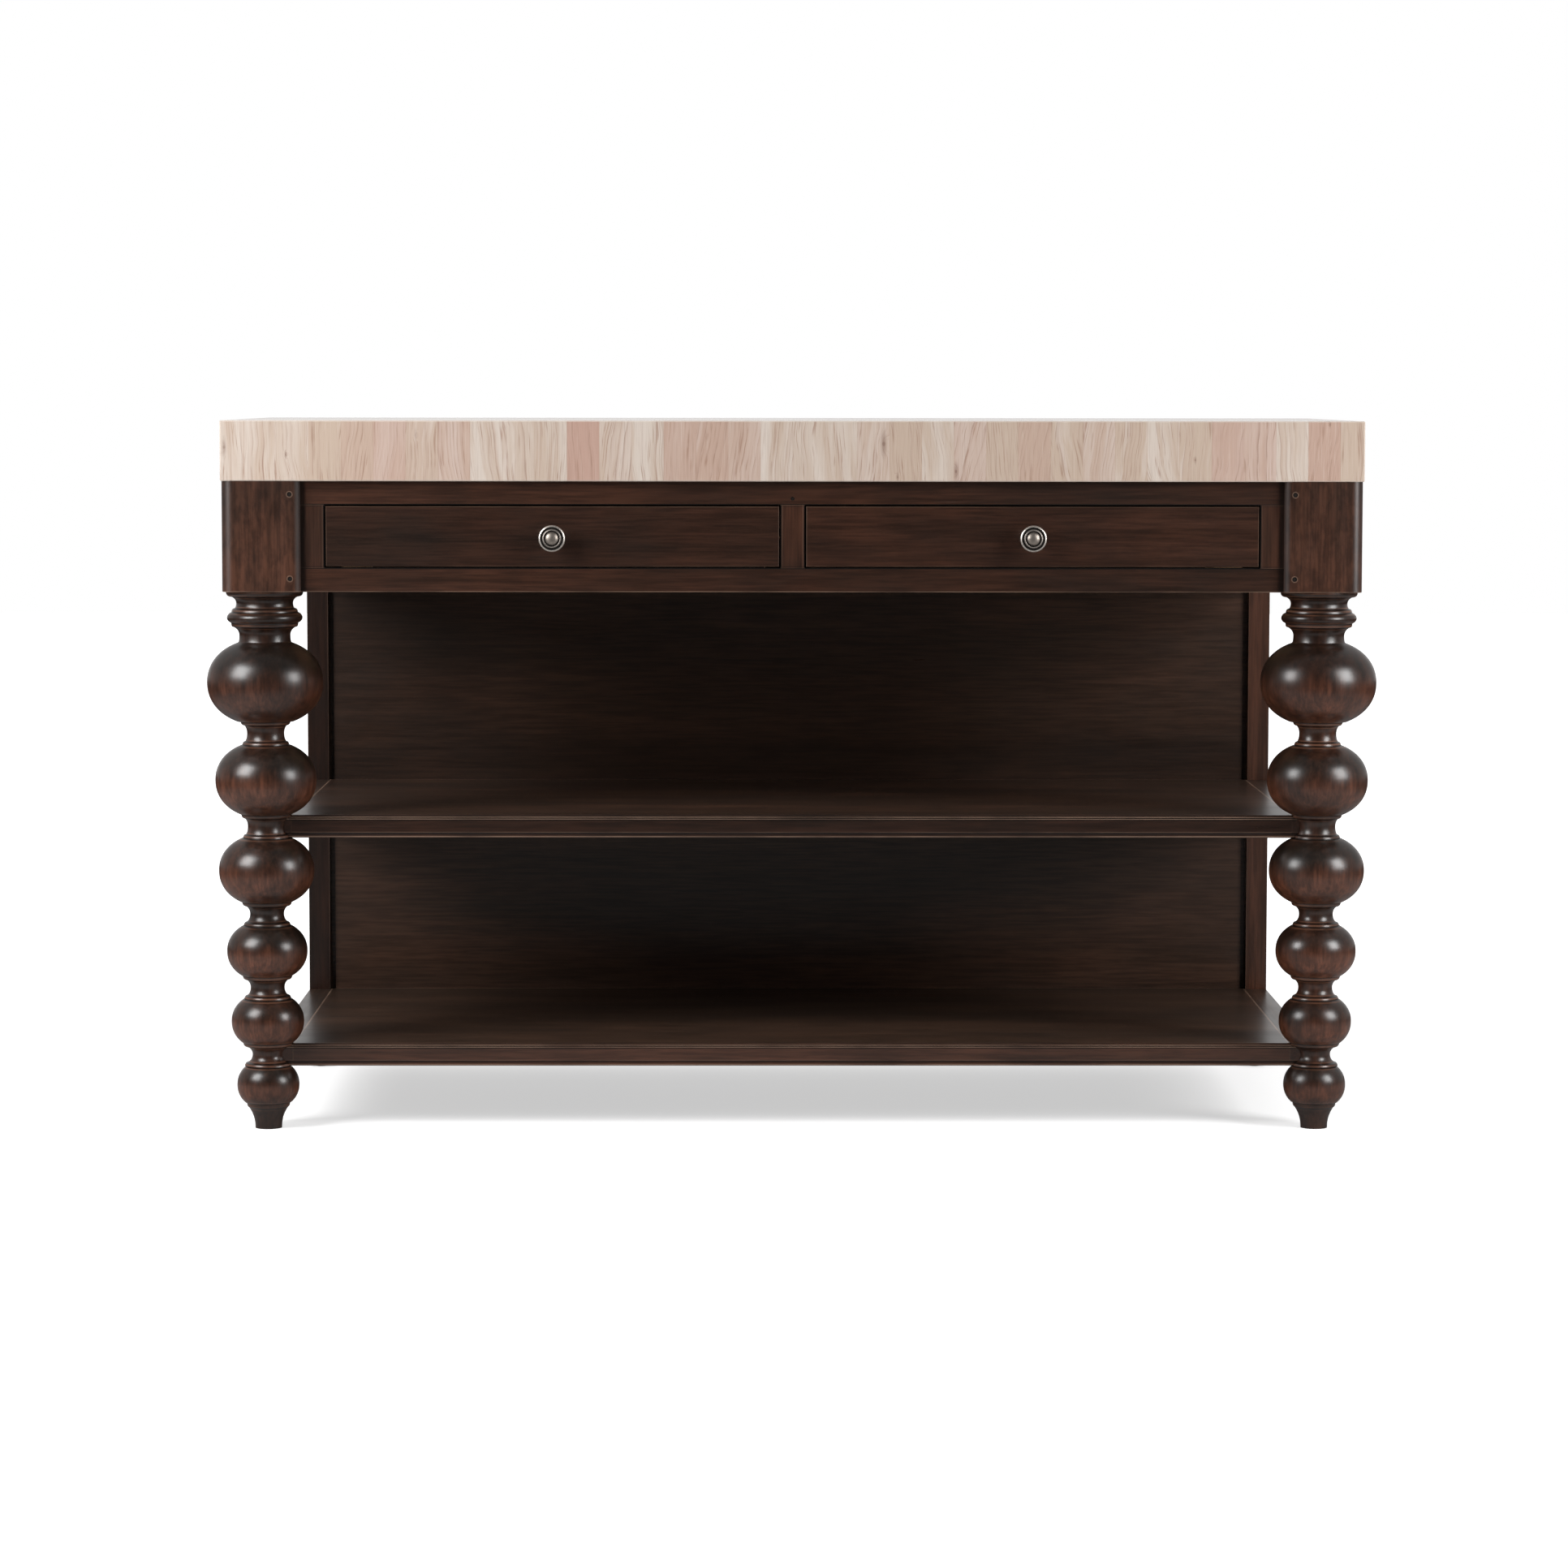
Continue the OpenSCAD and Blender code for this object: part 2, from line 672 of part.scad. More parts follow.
// Shank of one screw through the back panel, with its tip towards the front
module back_screw(x, z, r, grow, l) {
  translate([x, panel_back_y + 0.01, z]) rotate([90, 0, 0]) cylinder(r = r, h = l + grow);
}

module panel_screws() {
  color(steel) {
    for (side = [left, right]) on_side(side)
      for (z = post_screw_z) pan_head(post_inner_x + panel_lap/2, z, post_screw_l);
    for (z = [low_shelf_z, mid_shelf_z], x = shelf_screw_x)
      pan_head(x, z + shelf_t/2, panel_screw_l);
  }
}

// A screw with a low domed head on the back of the panel
module pan_head(x, z, l) {
  translate([x, panel_back_y, z]) rotate([-90, 0, 0]) rotate_extrude()
    polygon(concat(
      [[0, -l], [panel_screw_r, -l + 2], [panel_screw_r, 0]],
      ellipse_arc(0, 0, panel_screw_head_r, panel_screw_head_h, 0, 90, 5)
    ));
}

// A front rail with its end tenons and the mortises for the stiles
module front_rail(z, h) {
  color(dark_wood)
  difference() {
    union() {
      board([-block_inner_x, frame_front_y, z], [block_inner_x, frame_back_y, z + h]);
      for (side = [left, right]) on_side(side) rail_end_tenon(z, h, 0);
    }
    upright_tenons(-mullion_w/2, mullion_w/2, tenon_gap);
    for (side = [left, right]) on_side(side) {
      upright_tenons(opening_x1, block_inner_x, tenon_gap);
      rail_pegs(peg_r + dowel_gap, block_front_y);
    }
    mullion_peg(peg_small_r + dowel_gap, frame_front_y - eps);
  }
}

module end_stile(side) {
  color(dark_wood)
  on_side(side) {
    board([opening_x1, frame_front_y, opening_z], [block_inner_x, frame_back_y, kicker_z]);
    upright_tenons(opening_x1, block_inner_x, 0);
  }
}

module centre_mullion() {
  color(dark_wood)
  difference() {
    union() {
      board([-mullion_w/2, frame_front_y, opening_z], [mullion_w/2, frame_back_y, kicker_z]);
      upright_tenons(-mullion_w/2, mullion_w/2, 0);
    }
    mullion_peg(peg_small_r + dowel_gap, frame_front_y - eps);
  }
}

module frame_pegs() {
  color(dark_wood) {
    for (side = [left, right]) on_side(side) rail_pegs(peg_r, block_front_y + peg_recess);
    mullion_peg(peg_small_r, frame_front_y + peg_recess);
  }
}

// The block top, with small bevels and pilot holes for its screws
module butcher_block_top() {
  a = [-top_w/2, top_front_y, top_z];
  b = [top_w/2, top_back_y, island_h];
  color(block_wood)
  difference() {
    intersection() {
      along_x(a[0] - eps, b[0] + eps)
        polygon(bevel_rect([a[1], a[2]], [b[1], b[2]], top_bevel));
      along_y(a[1] - eps, b[1] + eps)
        polygon(bevel_rect([a[0], a[2]], [b[0], b[2]], top_bevel));
      translate([0, 0, a[2] - eps]) linear_extrude(b[2] - a[2] + 2*eps)
        polygon(bevel_rect([a[0], a[1]], [b[0], b[1]], top_bevel));
    }
    top_screw_shanks(top_screw_r + screw_gap, 1);
  }
}

// Edge profile of a shelf: [Y behind the front face, Z over the underside].
// From the top down: a hollow, two fine beads with a quirk under each, a flat face, a cove and
// a bead at the foot of the edge.
nose_hollow_d = 2.2;
nose_hollow_h = 1.9;
nose_step = 0.5;
upper_bead_r = 0.65;
second_bead_r = 0.8;
quirk_d = 1.5;
quirk_h = 0.9;
low_quirk_d = 0.9;
low_quirk_h = 0.6;
foot_bead_r = 1.6;
cove_h = 3.4;
cove_d = 1.2;
cove_step = 0.5;
function shelf_nose_points() =
  let (upper_z = shelf_t - nose_hollow_h - upper_bead_r)
  let (second_z = upper_z - upper_bead_r - quirk_h - second_bead_r)
  let (face_z = second_z - second_bead_r - low_quirk_h, cove_z = 2*foot_bead_r)
  concat(
    ellipse_arc(nose_step + upper_bead_r, shelf_t, nose_hollow_d, nose_hollow_h, 0, -90, 6),
    ellipse_arc(nose_step + upper_bead_r, upper_z, upper_bead_r, upper_bead_r, 105, 250, 6),
    [[quirk_d, upper_z - upper_bead_r], [quirk_d, upper_z - upper_bead_r - quirk_h]],
    ellipse_arc(second_bead_r, second_z, second_bead_r, second_bead_r, 110, 250, 6),
    [[low_quirk_d, second_z - second_bead_r], [low_quirk_d, face_z], [0, face_z],
      [0, cove_z + cove_h + cove_step]],
    ellipse_arc(cove_step, cove_z + cove_h/2, cove_d, cove_h/2, 90, -90, 8),
    ellipse_arc(foot_bead_r, foot_bead_r, foot_bead_r, foot_bead_r, 130, 270, 8)
  );

// Cross section of a shelf from its moulded front back to y1
module shelf_section(z, y1) {
  translate([shelf_front_y, z])
    polygon(concat(
      [[y1 - shelf_front_y, 0], [y1 - shelf_front_y, shelf_t]],
      shelf_nose_points()
    ));
}

// The neck of the right hand leg at height z and radius r, grown by the gap of the shelf end
module grown_neck(z, r) {
  translate([leg_x, leg_y, 0]) rotate_extrude()
    polygon(concat([[0, z + neck_h]], [for (p = neck_points(z, r)) [p[0] + cope_gap, p[1]]],
      [[0, z]]));
}

// Tongue on the right hand end of a shelf
module shelf_tongue(z, gap) {
  board([shelf_seam_x - eps, tongue_y - gap, z + (shelf_t - tongue_t)/2 - gap],
    [shelf_seam_x + tongue_l + gap, post_front_y - tongue_end + gap,
      z + (shelf_t + tongue_t)/2 + gap]);
}

module shelf(z) {
  color(dark_wood)
  difference() {
    union() {
      along_x(-shelf_seam_x, shelf_seam_x) shelf_section(z, panel_front_y);
      for (side = [left, right]) on_side(side) shelf_tongue(z, 0);
    }
    shelf_screws(panel_screw_r + screw_gap, bore_end);
  }
}

module shelf_end(side, z) {
  color(dark_wood)
  on_side(side)
  difference() {
    along_x(shelf_seam_x, shelf_outer_x) shelf_section(z, post_front_y);
    grown_neck(neck_2_z, neck_upper_r);
    grown_neck(neck_5_z, neck_lower_r);
    shelf_tongue(z, tenon_gap);
    end_dowels(z, dowel_r + dowel_gap, bore_end);
  }
}

module shelf_dowels() {
  color(drawer_wood)
  for (side = [left, right], z = [mid_shelf_z, low_shelf_z])
    on_side(side) end_dowels(z, dowel_r, 0);
}

// Drawer carriage

// Section in X and Z of a runner for the side that runs along x, with its guide towards dir
module runner_section(x, dir) {
  polygon([
    [x - dir*runner_reach, runner_top_z - runner_t],
    [x + dir*runner_t, runner_top_z - runner_t],
    [x + dir*runner_t, runner_top_z + guide_h],
    [x, runner_top_z + guide_h], [x, runner_top_z],
    [x - dir*runner_reach, runner_top_z]
  ]);
}

module end_runner(side) {
  color(drawer_wood)
  on_side(side) along_y(frame_back_y, panel_front_y) runner_section(opening_x1, 1);
}

module centre_runner() {
  color(drawer_wood)
  along_y(frame_back_y, panel_front_y)
    polygon([
      [-opening_x0 - runner_reach, runner_top_z - runner_t],
      [opening_x0 + runner_reach, runner_top_z - runner_t],
      [opening_x0 + runner_reach, runner_top_z], [opening_x0, runner_top_z],
      [opening_x0, runner_top_z + guide_h], [-opening_x0, runner_top_z + guide_h],
      [-opening_x0, runner_top_z], [-opening_x0 - runner_reach, runner_top_z]
    ]);
}

// A kicker fills the space between the drawer sides and the top
module kicker(x0, x1) {
  color(drawer_wood)
  difference() {
    board([x0, frame_back_y, kicker_z], [x1, panel_front_y, top_z]);
    top_screw_shanks(top_screw_r + 0.4, 1);
    top_screw_sinks();
  }
}

// Places of the screws that hold the top
top_screw_x = [-opening_x1, 0, opening_x1];
top_screw_in = 110;
top_screw_y = [frame_back_y + top_screw_in, panel_front_y - top_screw_in];
module top_screw_places() {
  for (x = top_screw_x, y = top_screw_y) translate([x, y, kicker_z]) children();
}

module top_screw_shanks(r, grow) {
  top_screw_places() cylinder(r = r, h = top_screw_l + grow);
}

// Counterbores for the screw heads under the kickers
module top_screw_sinks() {
  top_screw_places() translate([0, 0, -eps])
    cylinder(r = top_screw_head_r + 0.5, h = top_screw_sink + top_screw_head_h + eps);
}

module top_screws() {
  color(steel) top_screw_places() translate([0, 0, top_screw_sink]) {
    cylinder(r = top_screw_head_r, h = top_screw_head_h);
    cylinder(r = top_screw_r, h = top_screw_l - top_screw_sink);
  }
}

// Stops on the runners, against which the drawer sides close
module closing_stops() {
  y0 = drawer_back_y + stop_gap;
  color(drawer_wood)
  for (side = [left, right]) on_side(side) {
    board([opening_x1 - drawer_gap - side_t, y0, runner_top_z],
      [opening_x1, y0 + stop_l, runner_top_z + guide_h]);
    board([opening_x0, y0, runner_top_z],
      [opening_x0 + drawer_gap + side_t, y0 + stop_l, runner_top_z + guide_h]);
  }
}

// Blocks behind the upper rail that the stop tabs meet when a drawer is full out
module pull_stop_blocks() {
  y1 = tab_front_y - drawer_travel - pull_gap;
  color(drawer_wood)
  for (x = [-opening_mid_x, opening_mid_x])
    board([x - pull_block_w/2, frame_back_y, kicker_z], [x + pull_block_w/2, y1, top_z]);
}

// The right hand drawer. The left one is its mirror image.

// One row of dovetails in Y and Z, wide at y1 and narrow at the shoulder y0. They start a
// little behind the shoulder, so that each tail is one piece with its board.
tail_root = 1;
module tails_outline(y0, y1, gap) {
  pitch = side_h/tail_count;
  shoulder_w = pitch*0.54;
  flare = abs(y1 - y0)*tan(tail_angle);
  root_y = y0 - sign(y1 - y0)*tail_root;
  for (i = [0:tail_count - 1]) {
    mid = drawer_z + pitch*(i + 0.5);
    polygon([
      [root_y, mid - shoulder_w/2 - gap], [y0, mid - shoulder_w/2 - gap],
      [y1, mid - shoulder_w/2 - flare - gap], [y1, mid + shoulder_w/2 + flare + gap],
      [y0, mid + shoulder_w/2 + gap], [root_y, mid + shoulder_w/2 + gap]
    ]);
  }
}

// All tails of the drawer side that spans x0 to x1
module side_tails(x0, x1, gap) {
  along_x(x0, x1) {
    tails_outline(frame_front_y + front_t, frame_front_y + lap_t, gap);
    tails_outline(drawer_back_y - side_t, drawer_back_y, gap);
  }
}

// Groove that holds the drawer bottom, in the sides and the front
groove_gap = 0.1;
module bottom_board(gap) {
  x0 = opening_x0 + drawer_gap + side_t - groove_d;
  x1 = opening_x1 - drawer_gap - side_t + groove_d;
  board([x0 - gap, frame_front_y + front_t - groove_d - gap, drawer_z + bottom_up - gap],
    [x1 + gap, drawer_back_y - 0.5, drawer_z + bottom_up + bottom_t + gap]);
}

// A drawer side between x0 and x1, tailed at both ends
module drawer_side(x0, x1) {
  color(drawer_wood)
  difference() {
    union() {
      board([x0, frame_front_y + front_t, drawer_z],
        [x1, drawer_back_y - side_t, drawer_z + side_h]);
      side_tails(x0, x1, 0);
    }
    bottom_board(groove_gap);
    // The groove runs out through the lowest tail at the back
    board([max(x0, opening_x0 + drawer_gap + side_t - groove_d - groove_gap),
        drawer_back_y - side_t, drawer_z + bottom_up - groove_gap],
      [min(x1, opening_x1 - drawer_gap - side_t + groove_d + groove_gap),
        drawer_back_y + eps, drawer_z + bottom_up + bottom_t + groove_gap]);
  }
}

outer_side_x = opening_x1 - drawer_gap - side_t;
inner_side_x = opening_x0 + drawer_gap;

module drawer_outer_side(side) {
  on_side(side) drawer_side(outer_side_x, outer_side_x + side_t);
}

module drawer_inner_side(side) {
  on_side(side) drawer_side(inner_side_x, inner_side_x + side_t);
}

// Flush front with a small bevel, half blind sockets, a groove and a hole for the knob
module drawer_front(side) {
  a = [inner_side_x, frame_front_y, drawer_z];
  b = [inner_side_x + drawer_w, frame_front_y + front_t, drawer_z + drawer_h];
  color(dark_wood)
  on_side(side)
  difference() {
    intersection() {
      along_x(a[0] - eps, b[0] + eps)
        polygon(bevel_front_yz([a[1], a[2]], [b[1], b[2]], front_bevel));
      translate([0, 0, a[2] - eps]) linear_extrude(drawer_h + 2*eps)
        polygon(bevel_front_rect([a[0], a[1]], [b[0], b[1]], front_bevel));
    }
    for (x = [inner_side_x, outer_side_x])
      side_tails(x - (x == inner_side_x ? eps : 0), x + side_t + (x == outer_side_x ? eps : 0), 0.02);
    bottom_board(groove_gap);
    knob_bore();
  }
}

// A rectangle in Y and Z whose two corners at the low Y are cut at 45 degrees
function bevel_front_yz(a, b, c) = [
  [a[0] + c, a[1]], [b[0], a[1]], b, [a[0] + c, b[1]], [a[0], b[1] - c], [a[0], a[1] + c]
];

knob_z = drawer_z + drawer_h/2 - knob_drop;
module knob_bore() {
  translate([opening_mid_x, frame_front_y - eps, knob_z]) rotate([-90, 0, 0])
    cylinder(r = knob_screw_r + 0.2, h = front_t + 2*eps);
}

// Back of the drawer, over the bottom board, with pins between the tails of the sides
module drawer_back(side) {
  color(drawer_wood)
  on_side(side)
  difference() {
    board([inner_side_x, drawer_back_y - side_t, drawer_z + bottom_up + bottom_t + groove_gap],
      [inner_side_x + drawer_w, drawer_back_y, drawer_z + side_h]);
    for (x = [inner_side_x, outer_side_x])
      side_tails(x - (x == inner_side_x ? eps : 0), x + side_t + (x == outer_side_x ? eps : 0), 0.02);
  }
}

module drawer_bottom(side) {
  color(drawer_wood) on_side(side) bottom_board(0);
}

// A tab on the drawer back that meets the pull stop block
module drawer_stop_tab(side) {
  color(drawer_wood)
  on_side(side)
    board([opening_mid_x - tab_w/2, tab_front_y, drawer_z + side_h - tab_down],
      [opening_mid_x + tab_w/2, tab_front_y + tab_t, kicker_z + tab_over]);
}

// Knob: a foot, a stem and a face with a raised rim, a ring and a low dome
rim_h = 5.5;
rim_w = 2.2;
ring_r = 12;
dome_r = 8.6;
groove_deep = 1.6;
function knob_points() =
  let (face = knob_out - 3.2)
  concat(
    [[0, 0], [knob_foot_r, 0]],
    ellipse_arc(knob_foot_r - 2, 1.2, 2, 2, 0, 80, 4),
    ellipse_arc(knob_stem_r + 6, knob_out*0.42, -6, knob_out*0.22, -60, 62, 8),
    ellipse_arc(knob_r - 2.6, face - rim_h/2, 2.6, rim_h/2, -75, 70, 8),
    [[knob_r - rim_w - 0.6, face], [ring_r + 1.4, face - groove_deep],
      [ring_r + 0.3, face - groove_deep]],
    ellipse_arc(ring_r - 1.2, face - groove_deep, 1.5, 1.7, 0, 180, 6),
    [[dome_r + 0.4, face - groove_deep]],
    ellipse_arc(0, face - groove_deep, dome_r, knob_out - face + groove_deep, 0, 90, 8)
  );

module knob(side) {
  color(pewter)
  on_side(side)
  difference() {
    translate([opening_mid_x, frame_front_y, knob_z]) rotate([90, 0, 0])
      rotate_extrude() polygon(knob_points());
    translate([opening_mid_x, frame_front_y + eps, knob_z]) rotate([90, 0, 0])
      cylinder(r = knob_screw_r + screw_gap, h = knob_screw_in + eps + 0.5);
  }
}

module knob_screw(side) {
  color(steel)
  on_side(side)
  translate([opening_mid_x, frame_front_y + front_t, knob_z]) rotate([90, 0, 0]) {
    cylinder(r = knob_screw_r, h = front_t + knob_screw_in);
    mirror([0, 0, 1]) cylinder(r = knob_screw_head_r, h = knob_screw_head_h);
  }
}

butcher_block_top();
front_leg(left);  // front_leg_left
front_leg(right);  // front_leg_right
back_post(left);  // back_post_left
back_post(right);  // back_post_right
side_apron(left);  // side_apron_left
side_apron(right);  // side_apron_right
back_rail();
back_panel();
front_rail(top_z - rail_upper_h, rail_upper_h);  // front_rail_upper
front_rail(apron_z, rail_lower_h);  // front_rail_lower
end_stile(left);  // end_stile_left
end_stile(right);  // end_stile_right
centre_mullion();
frame_pegs();
floor_glides();
shelf(mid_shelf_z);  // mid_shelf
shelf_end(left, mid_shelf_z);  // mid_shelf_end_left
shelf_end(right, mid_shelf_z);  // mid_shelf_end_right
shelf(low_shelf_z);  // low_shelf
shelf_end(left, low_shelf_z);  // low_shelf_end_left
shelf_end(right, low_shelf_z);  // low_shelf_end_right
shelf_dowels();
end_runner(left);  // runner_left
centre_runner();  // runner_centre
end_runner(right);  // runner_right
kicker(-opening_x1 - runner_t, -opening_x1 + runner_reach);  // kicker_left
kicker(-opening_x0 - runner_reach, opening_x0 + runner_reach);  // kicker_centre
kicker(opening_x1 - runner_reach, opening_x1 + runner_t);  // kicker_right
closing_stops();
pull_stop_blocks();
top_screws();
panel_screws();
drawer_front(left);  // drawer_left_front
drawer_outer_side(left);  // drawer_left_outer_side
drawer_inner_side(left);  // drawer_left_inner_side
drawer_back(left);  // drawer_left_back
drawer_bottom(left);  // drawer_left_bottom
drawer_stop_tab(left);  // drawer_left_stop_tab
knob(left);  // knob_left
knob_screw(left);  // knob_screw_left
drawer_front(right);  // drawer_right_front
drawer_outer_side(right);  // drawer_right_outer_side
drawer_inner_side(right);  // drawer_right_inner_side
drawer_back(right);  // drawer_right_back
drawer_bottom(right);  // drawer_right_bottom
drawer_stop_tab(right);  // drawer_right_stop_tab
knob(right);  // knob_right
knob_screw(right);  // knob_screw_right
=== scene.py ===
import math

import bmesh
import bpy
from mathutils import Matrix, Vector


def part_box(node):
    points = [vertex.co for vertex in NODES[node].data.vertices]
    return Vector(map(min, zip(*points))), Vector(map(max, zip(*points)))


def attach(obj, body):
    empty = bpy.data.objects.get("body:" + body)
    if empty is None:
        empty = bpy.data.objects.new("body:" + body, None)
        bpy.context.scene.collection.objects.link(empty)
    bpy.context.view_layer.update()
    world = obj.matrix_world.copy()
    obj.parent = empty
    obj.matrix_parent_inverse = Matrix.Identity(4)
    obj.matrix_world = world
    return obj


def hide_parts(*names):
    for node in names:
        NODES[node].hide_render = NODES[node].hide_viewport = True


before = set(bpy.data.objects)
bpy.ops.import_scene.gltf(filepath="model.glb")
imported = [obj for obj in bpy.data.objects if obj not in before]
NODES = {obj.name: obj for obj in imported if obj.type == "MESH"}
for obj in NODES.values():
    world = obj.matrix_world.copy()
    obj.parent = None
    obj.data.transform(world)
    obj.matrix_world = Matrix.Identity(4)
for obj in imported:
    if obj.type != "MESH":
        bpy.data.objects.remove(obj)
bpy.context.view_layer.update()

MM = 0.001
X, Y, Z = 0, 1, 2
LOW, HIGH = 0, 1
WHITE = (1, 1, 1, 1)


def link(obj):
    bpy.context.scene.collection.objects.link(obj)
    return obj


def cad(node, corner, axis):
    """One side of the box of a CAD node, in mm."""
    return round(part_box(node)[corner][axis] / MM, 3)


# Sizes of the leg block and of its pegs, in mm
BLOCK_HALF, BLOCK_ROUND, BLOCK_EASE, BLOCK_EDGE, BLOCK_GAP = 50.5, 14.5, 7.0, 0.7, 0.1
PEG_R, PEG_HOLE_R, PEG_HOLE_DEPTH, PEG_OFF = 2.8, 2.9, 3.0, 1.8

# Places on the CAD that the looks refer to, in mm: levels over the floor, and distances along X
# from the middle
SLAB_UNDER = cad("butcher_block_top", LOW, Z)
SLAB_FRONT = cad("butcher_block_top", LOW, Y)
BLOCK_FOOT, BLOCK_TOP = cad("side_apron_left", LOW, Z), SLAB_UNDER - BLOCK_GAP
LEG_X = (cad("front_leg_right", LOW, X) + cad("front_leg_right", HIGH, X)) / 2
BLOCK_INNER, BLOCK_OUTER = LEG_X - BLOCK_HALF, LEG_X + BLOCK_HALF
OPENING_LOW, OPENING_HIGH = cad("front_rail_lower", HIGH, Z), cad("front_rail_upper", LOW, Z)
OPENING_END = cad("end_stile_right", LOW, X)
MULLION_EDGE = cad("centre_mullion", HIGH, X)
SHELF_SEAM = cad("mid_shelf_end_right", LOW, X)
PEG_X = cad("frame_pegs", HIGH, X) - PEG_R
PEG_LEVELS = ((BLOCK_FOOT + OPENING_LOW) / 2 + PEG_OFF, (OPENING_HIGH + SLAB_UNDER) / 2 - PEG_OFF)


# Camera

PHOTO_PX = 1932
FOCAL_PX = 5850.0
SENSOR_MM = 36.0
FAR_CLIP = 60
CAM_AT = Vector((-0.05579, -6.40304, 0.96098))
CAM_YAW, CAM_PITCH, CAM_ROLL = 0.00737, 0.08289, 0.00101


def make_camera():
    """The camera of the photograph, from the fit to the object's edges."""
    data = bpy.data.cameras.new("camera")
    data.sensor_fit = "HORIZONTAL"
    data.sensor_width = SENSOR_MM
    data.lens = FOCAL_PX / PHOTO_PX * SENSOR_MM
    data.clip_end = FAR_CLIP
    cam = link(bpy.data.objects.new("camera", data))
    ahead = Vector((math.sin(CAM_YAW) * math.cos(CAM_PITCH),
                    math.cos(CAM_YAW) * math.cos(CAM_PITCH), -math.sin(CAM_PITCH)))
    right = Vector((math.cos(CAM_YAW), -math.sin(CAM_YAW), 0))
    up = right.cross(ahead)
    c, s = math.cos(CAM_ROLL), math.sin(CAM_ROLL)
    turn = Matrix((c * right + s * up, -s * right + c * up, -ahead)).transposed().to_4x4()
    turn.translation = CAM_AT
    cam.matrix_world = turn
    bpy.context.scene.camera = cam


# Node helpers

class Graph:
    """A short way to write a node tree."""

    def __init__(self, tree):
        self.tree = tree
        tree.nodes.clear()

    def add(self, kind, inputs=None, **props):
        node = self.tree.nodes.new(kind)
        for key, value in props.items():
            setattr(node, key, value)
        for key, value in (inputs or {}).items():
            socket = node.inputs[key]
            if isinstance(value, bpy.types.NodeSocket):
                self.tree.links.new(value, socket)
            else:
                socket.default_value = value
        return node

    def math(self, op, a, b=0.0):
        return self.add("ShaderNodeMath", {0: a, 1: b}, operation=op).outputs[0]

    def chain(self, op, value, *others):
        for other in others:
            value = self.math(op, value, other)
        return value

    def plus(self, *values):
        return self.chain("ADD", *values)

    def times(self, *values):
        return self.chain("MULTIPLY", *values)

    def most(self, *values):
        return self.chain("MAXIMUM", *values)

    def least(self, *values):
        return self.chain("MINIMUM", *values)

    def minus(self, a, b):
        return self.math("SUBTRACT", a, b)

    def absolute(self, v):
        return self.math("ABSOLUTE", v)

    def vmath(self, op, a, b=(0, 0, 0)):
        node = self.add("ShaderNodeVectorMath", {0: a, 1: b}, operation=op)
        return node.outputs["Value" if op == "LENGTH" else "Vector"]

    def scaled(self, v, factors):
        return self.vmath("MULTIPLY", v, factors)

    def distance(self, a, b, factors):
        """The distance of two points, with each axis weighed by its factor."""
        return self.vmath("LENGTH", self.scaled(self.vmath("SUBTRACT", a, b), factors))

    def scalar_mix(self, fac, a, b):
        return self.add("ShaderNodeMix", {0: fac, 2: a, 3: b}, data_type="FLOAT").outputs[0]

    def split(self, v):
        return tuple(self.add("ShaderNodeSeparateXYZ", {0: v}).outputs)

    def join(self, x, y, z):
        return self.add("ShaderNodeCombineXYZ", {0: x, 1: y, 2: z}).outputs[0]

    def here(self):
        """The point on the piece, in metres."""
        return self.add("ShaderNodeTexCoord").outputs["Object"]

    def attribute(self, name):
        return self.add("ShaderNodeAttribute", attribute_name=name).outputs["Fac"]

    def noise_node(self, v, scale, detail, rough):
        return self.add("ShaderNodeTexNoise", {"Vector": v, "Scale": scale, "Detail": detail,
                                               "Roughness": rough})

    def noise(self, v, scale, detail, rough=0.5):
        return self.noise_node(v, scale, detail, rough).outputs["Fac"]

    def random(self, v):
        return self.add("ShaderNodeTexWhiteNoise", {"Vector": v})

    def band(self, v, low, high, out_low=0.0, out_high=1.0):
        """A smooth step from low to high."""
        return self.add("ShaderNodeMapRange", {0: v, 1: low, 2: high, 3: out_low, 4: out_high},
                        interpolation_type="SMOOTHSTEP").outputs[0]

    def ramp(self, v, stops):
        node = self.add("ShaderNodeValToRGB", {0: v})
        ramp = node.color_ramp
        while len(ramp.elements) < len(stops):
            ramp.elements.new(0.5)
        for element, (place, colour) in zip(ramp.elements, stops):
            element.position = place
            element.color = (*colour, 1)
        return node.outputs[0]

    def mix(self, fac, a, b, mode="MIX"):
        a, b = (c if isinstance(c, bpy.types.NodeSocket) else (*c, 1) for c in (a, b))
        return self.add("ShaderNodeMix", {0: fac, 6: a, 7: b}, data_type="RGBA",
                        blend_type=mode).outputs[2]

    def tinted(self, colour, tint):
        return self.mix(1.0, colour, tint, "MULTIPLY")

    def shader_mix(self, fac, a, b):
        return self.add("ShaderNodeMixShader", {0: fac, 1: a.outputs[0], 2: b.outputs[0]})


def new_material(name):
    mat = bpy.data.materials.new(name)
    mat.use_nodes = True
    return mat, Graph(mat.node_tree)


def finish_material(g, colour, rough, bump, bump_mm, **sockets):
    """Ends a tree in one Principled shader. Uniform values sit on its own sockets."""
    normal = g.add("ShaderNodeBump", {"Height": bump, "Strength": 1.0, "Distance": bump_mm * MM})
    inputs = {"Base Color": colour, "Roughness": rough, "Normal": normal.outputs[0]}
    inputs.update({key.replace("_", " "): value for key, value in sockets.items()})
    bsdf = g.add("ShaderNodeBsdfPrincipled", inputs)
    g.add("ShaderNodeOutputMaterial", {"Surface": bsdf.outputs[0]})


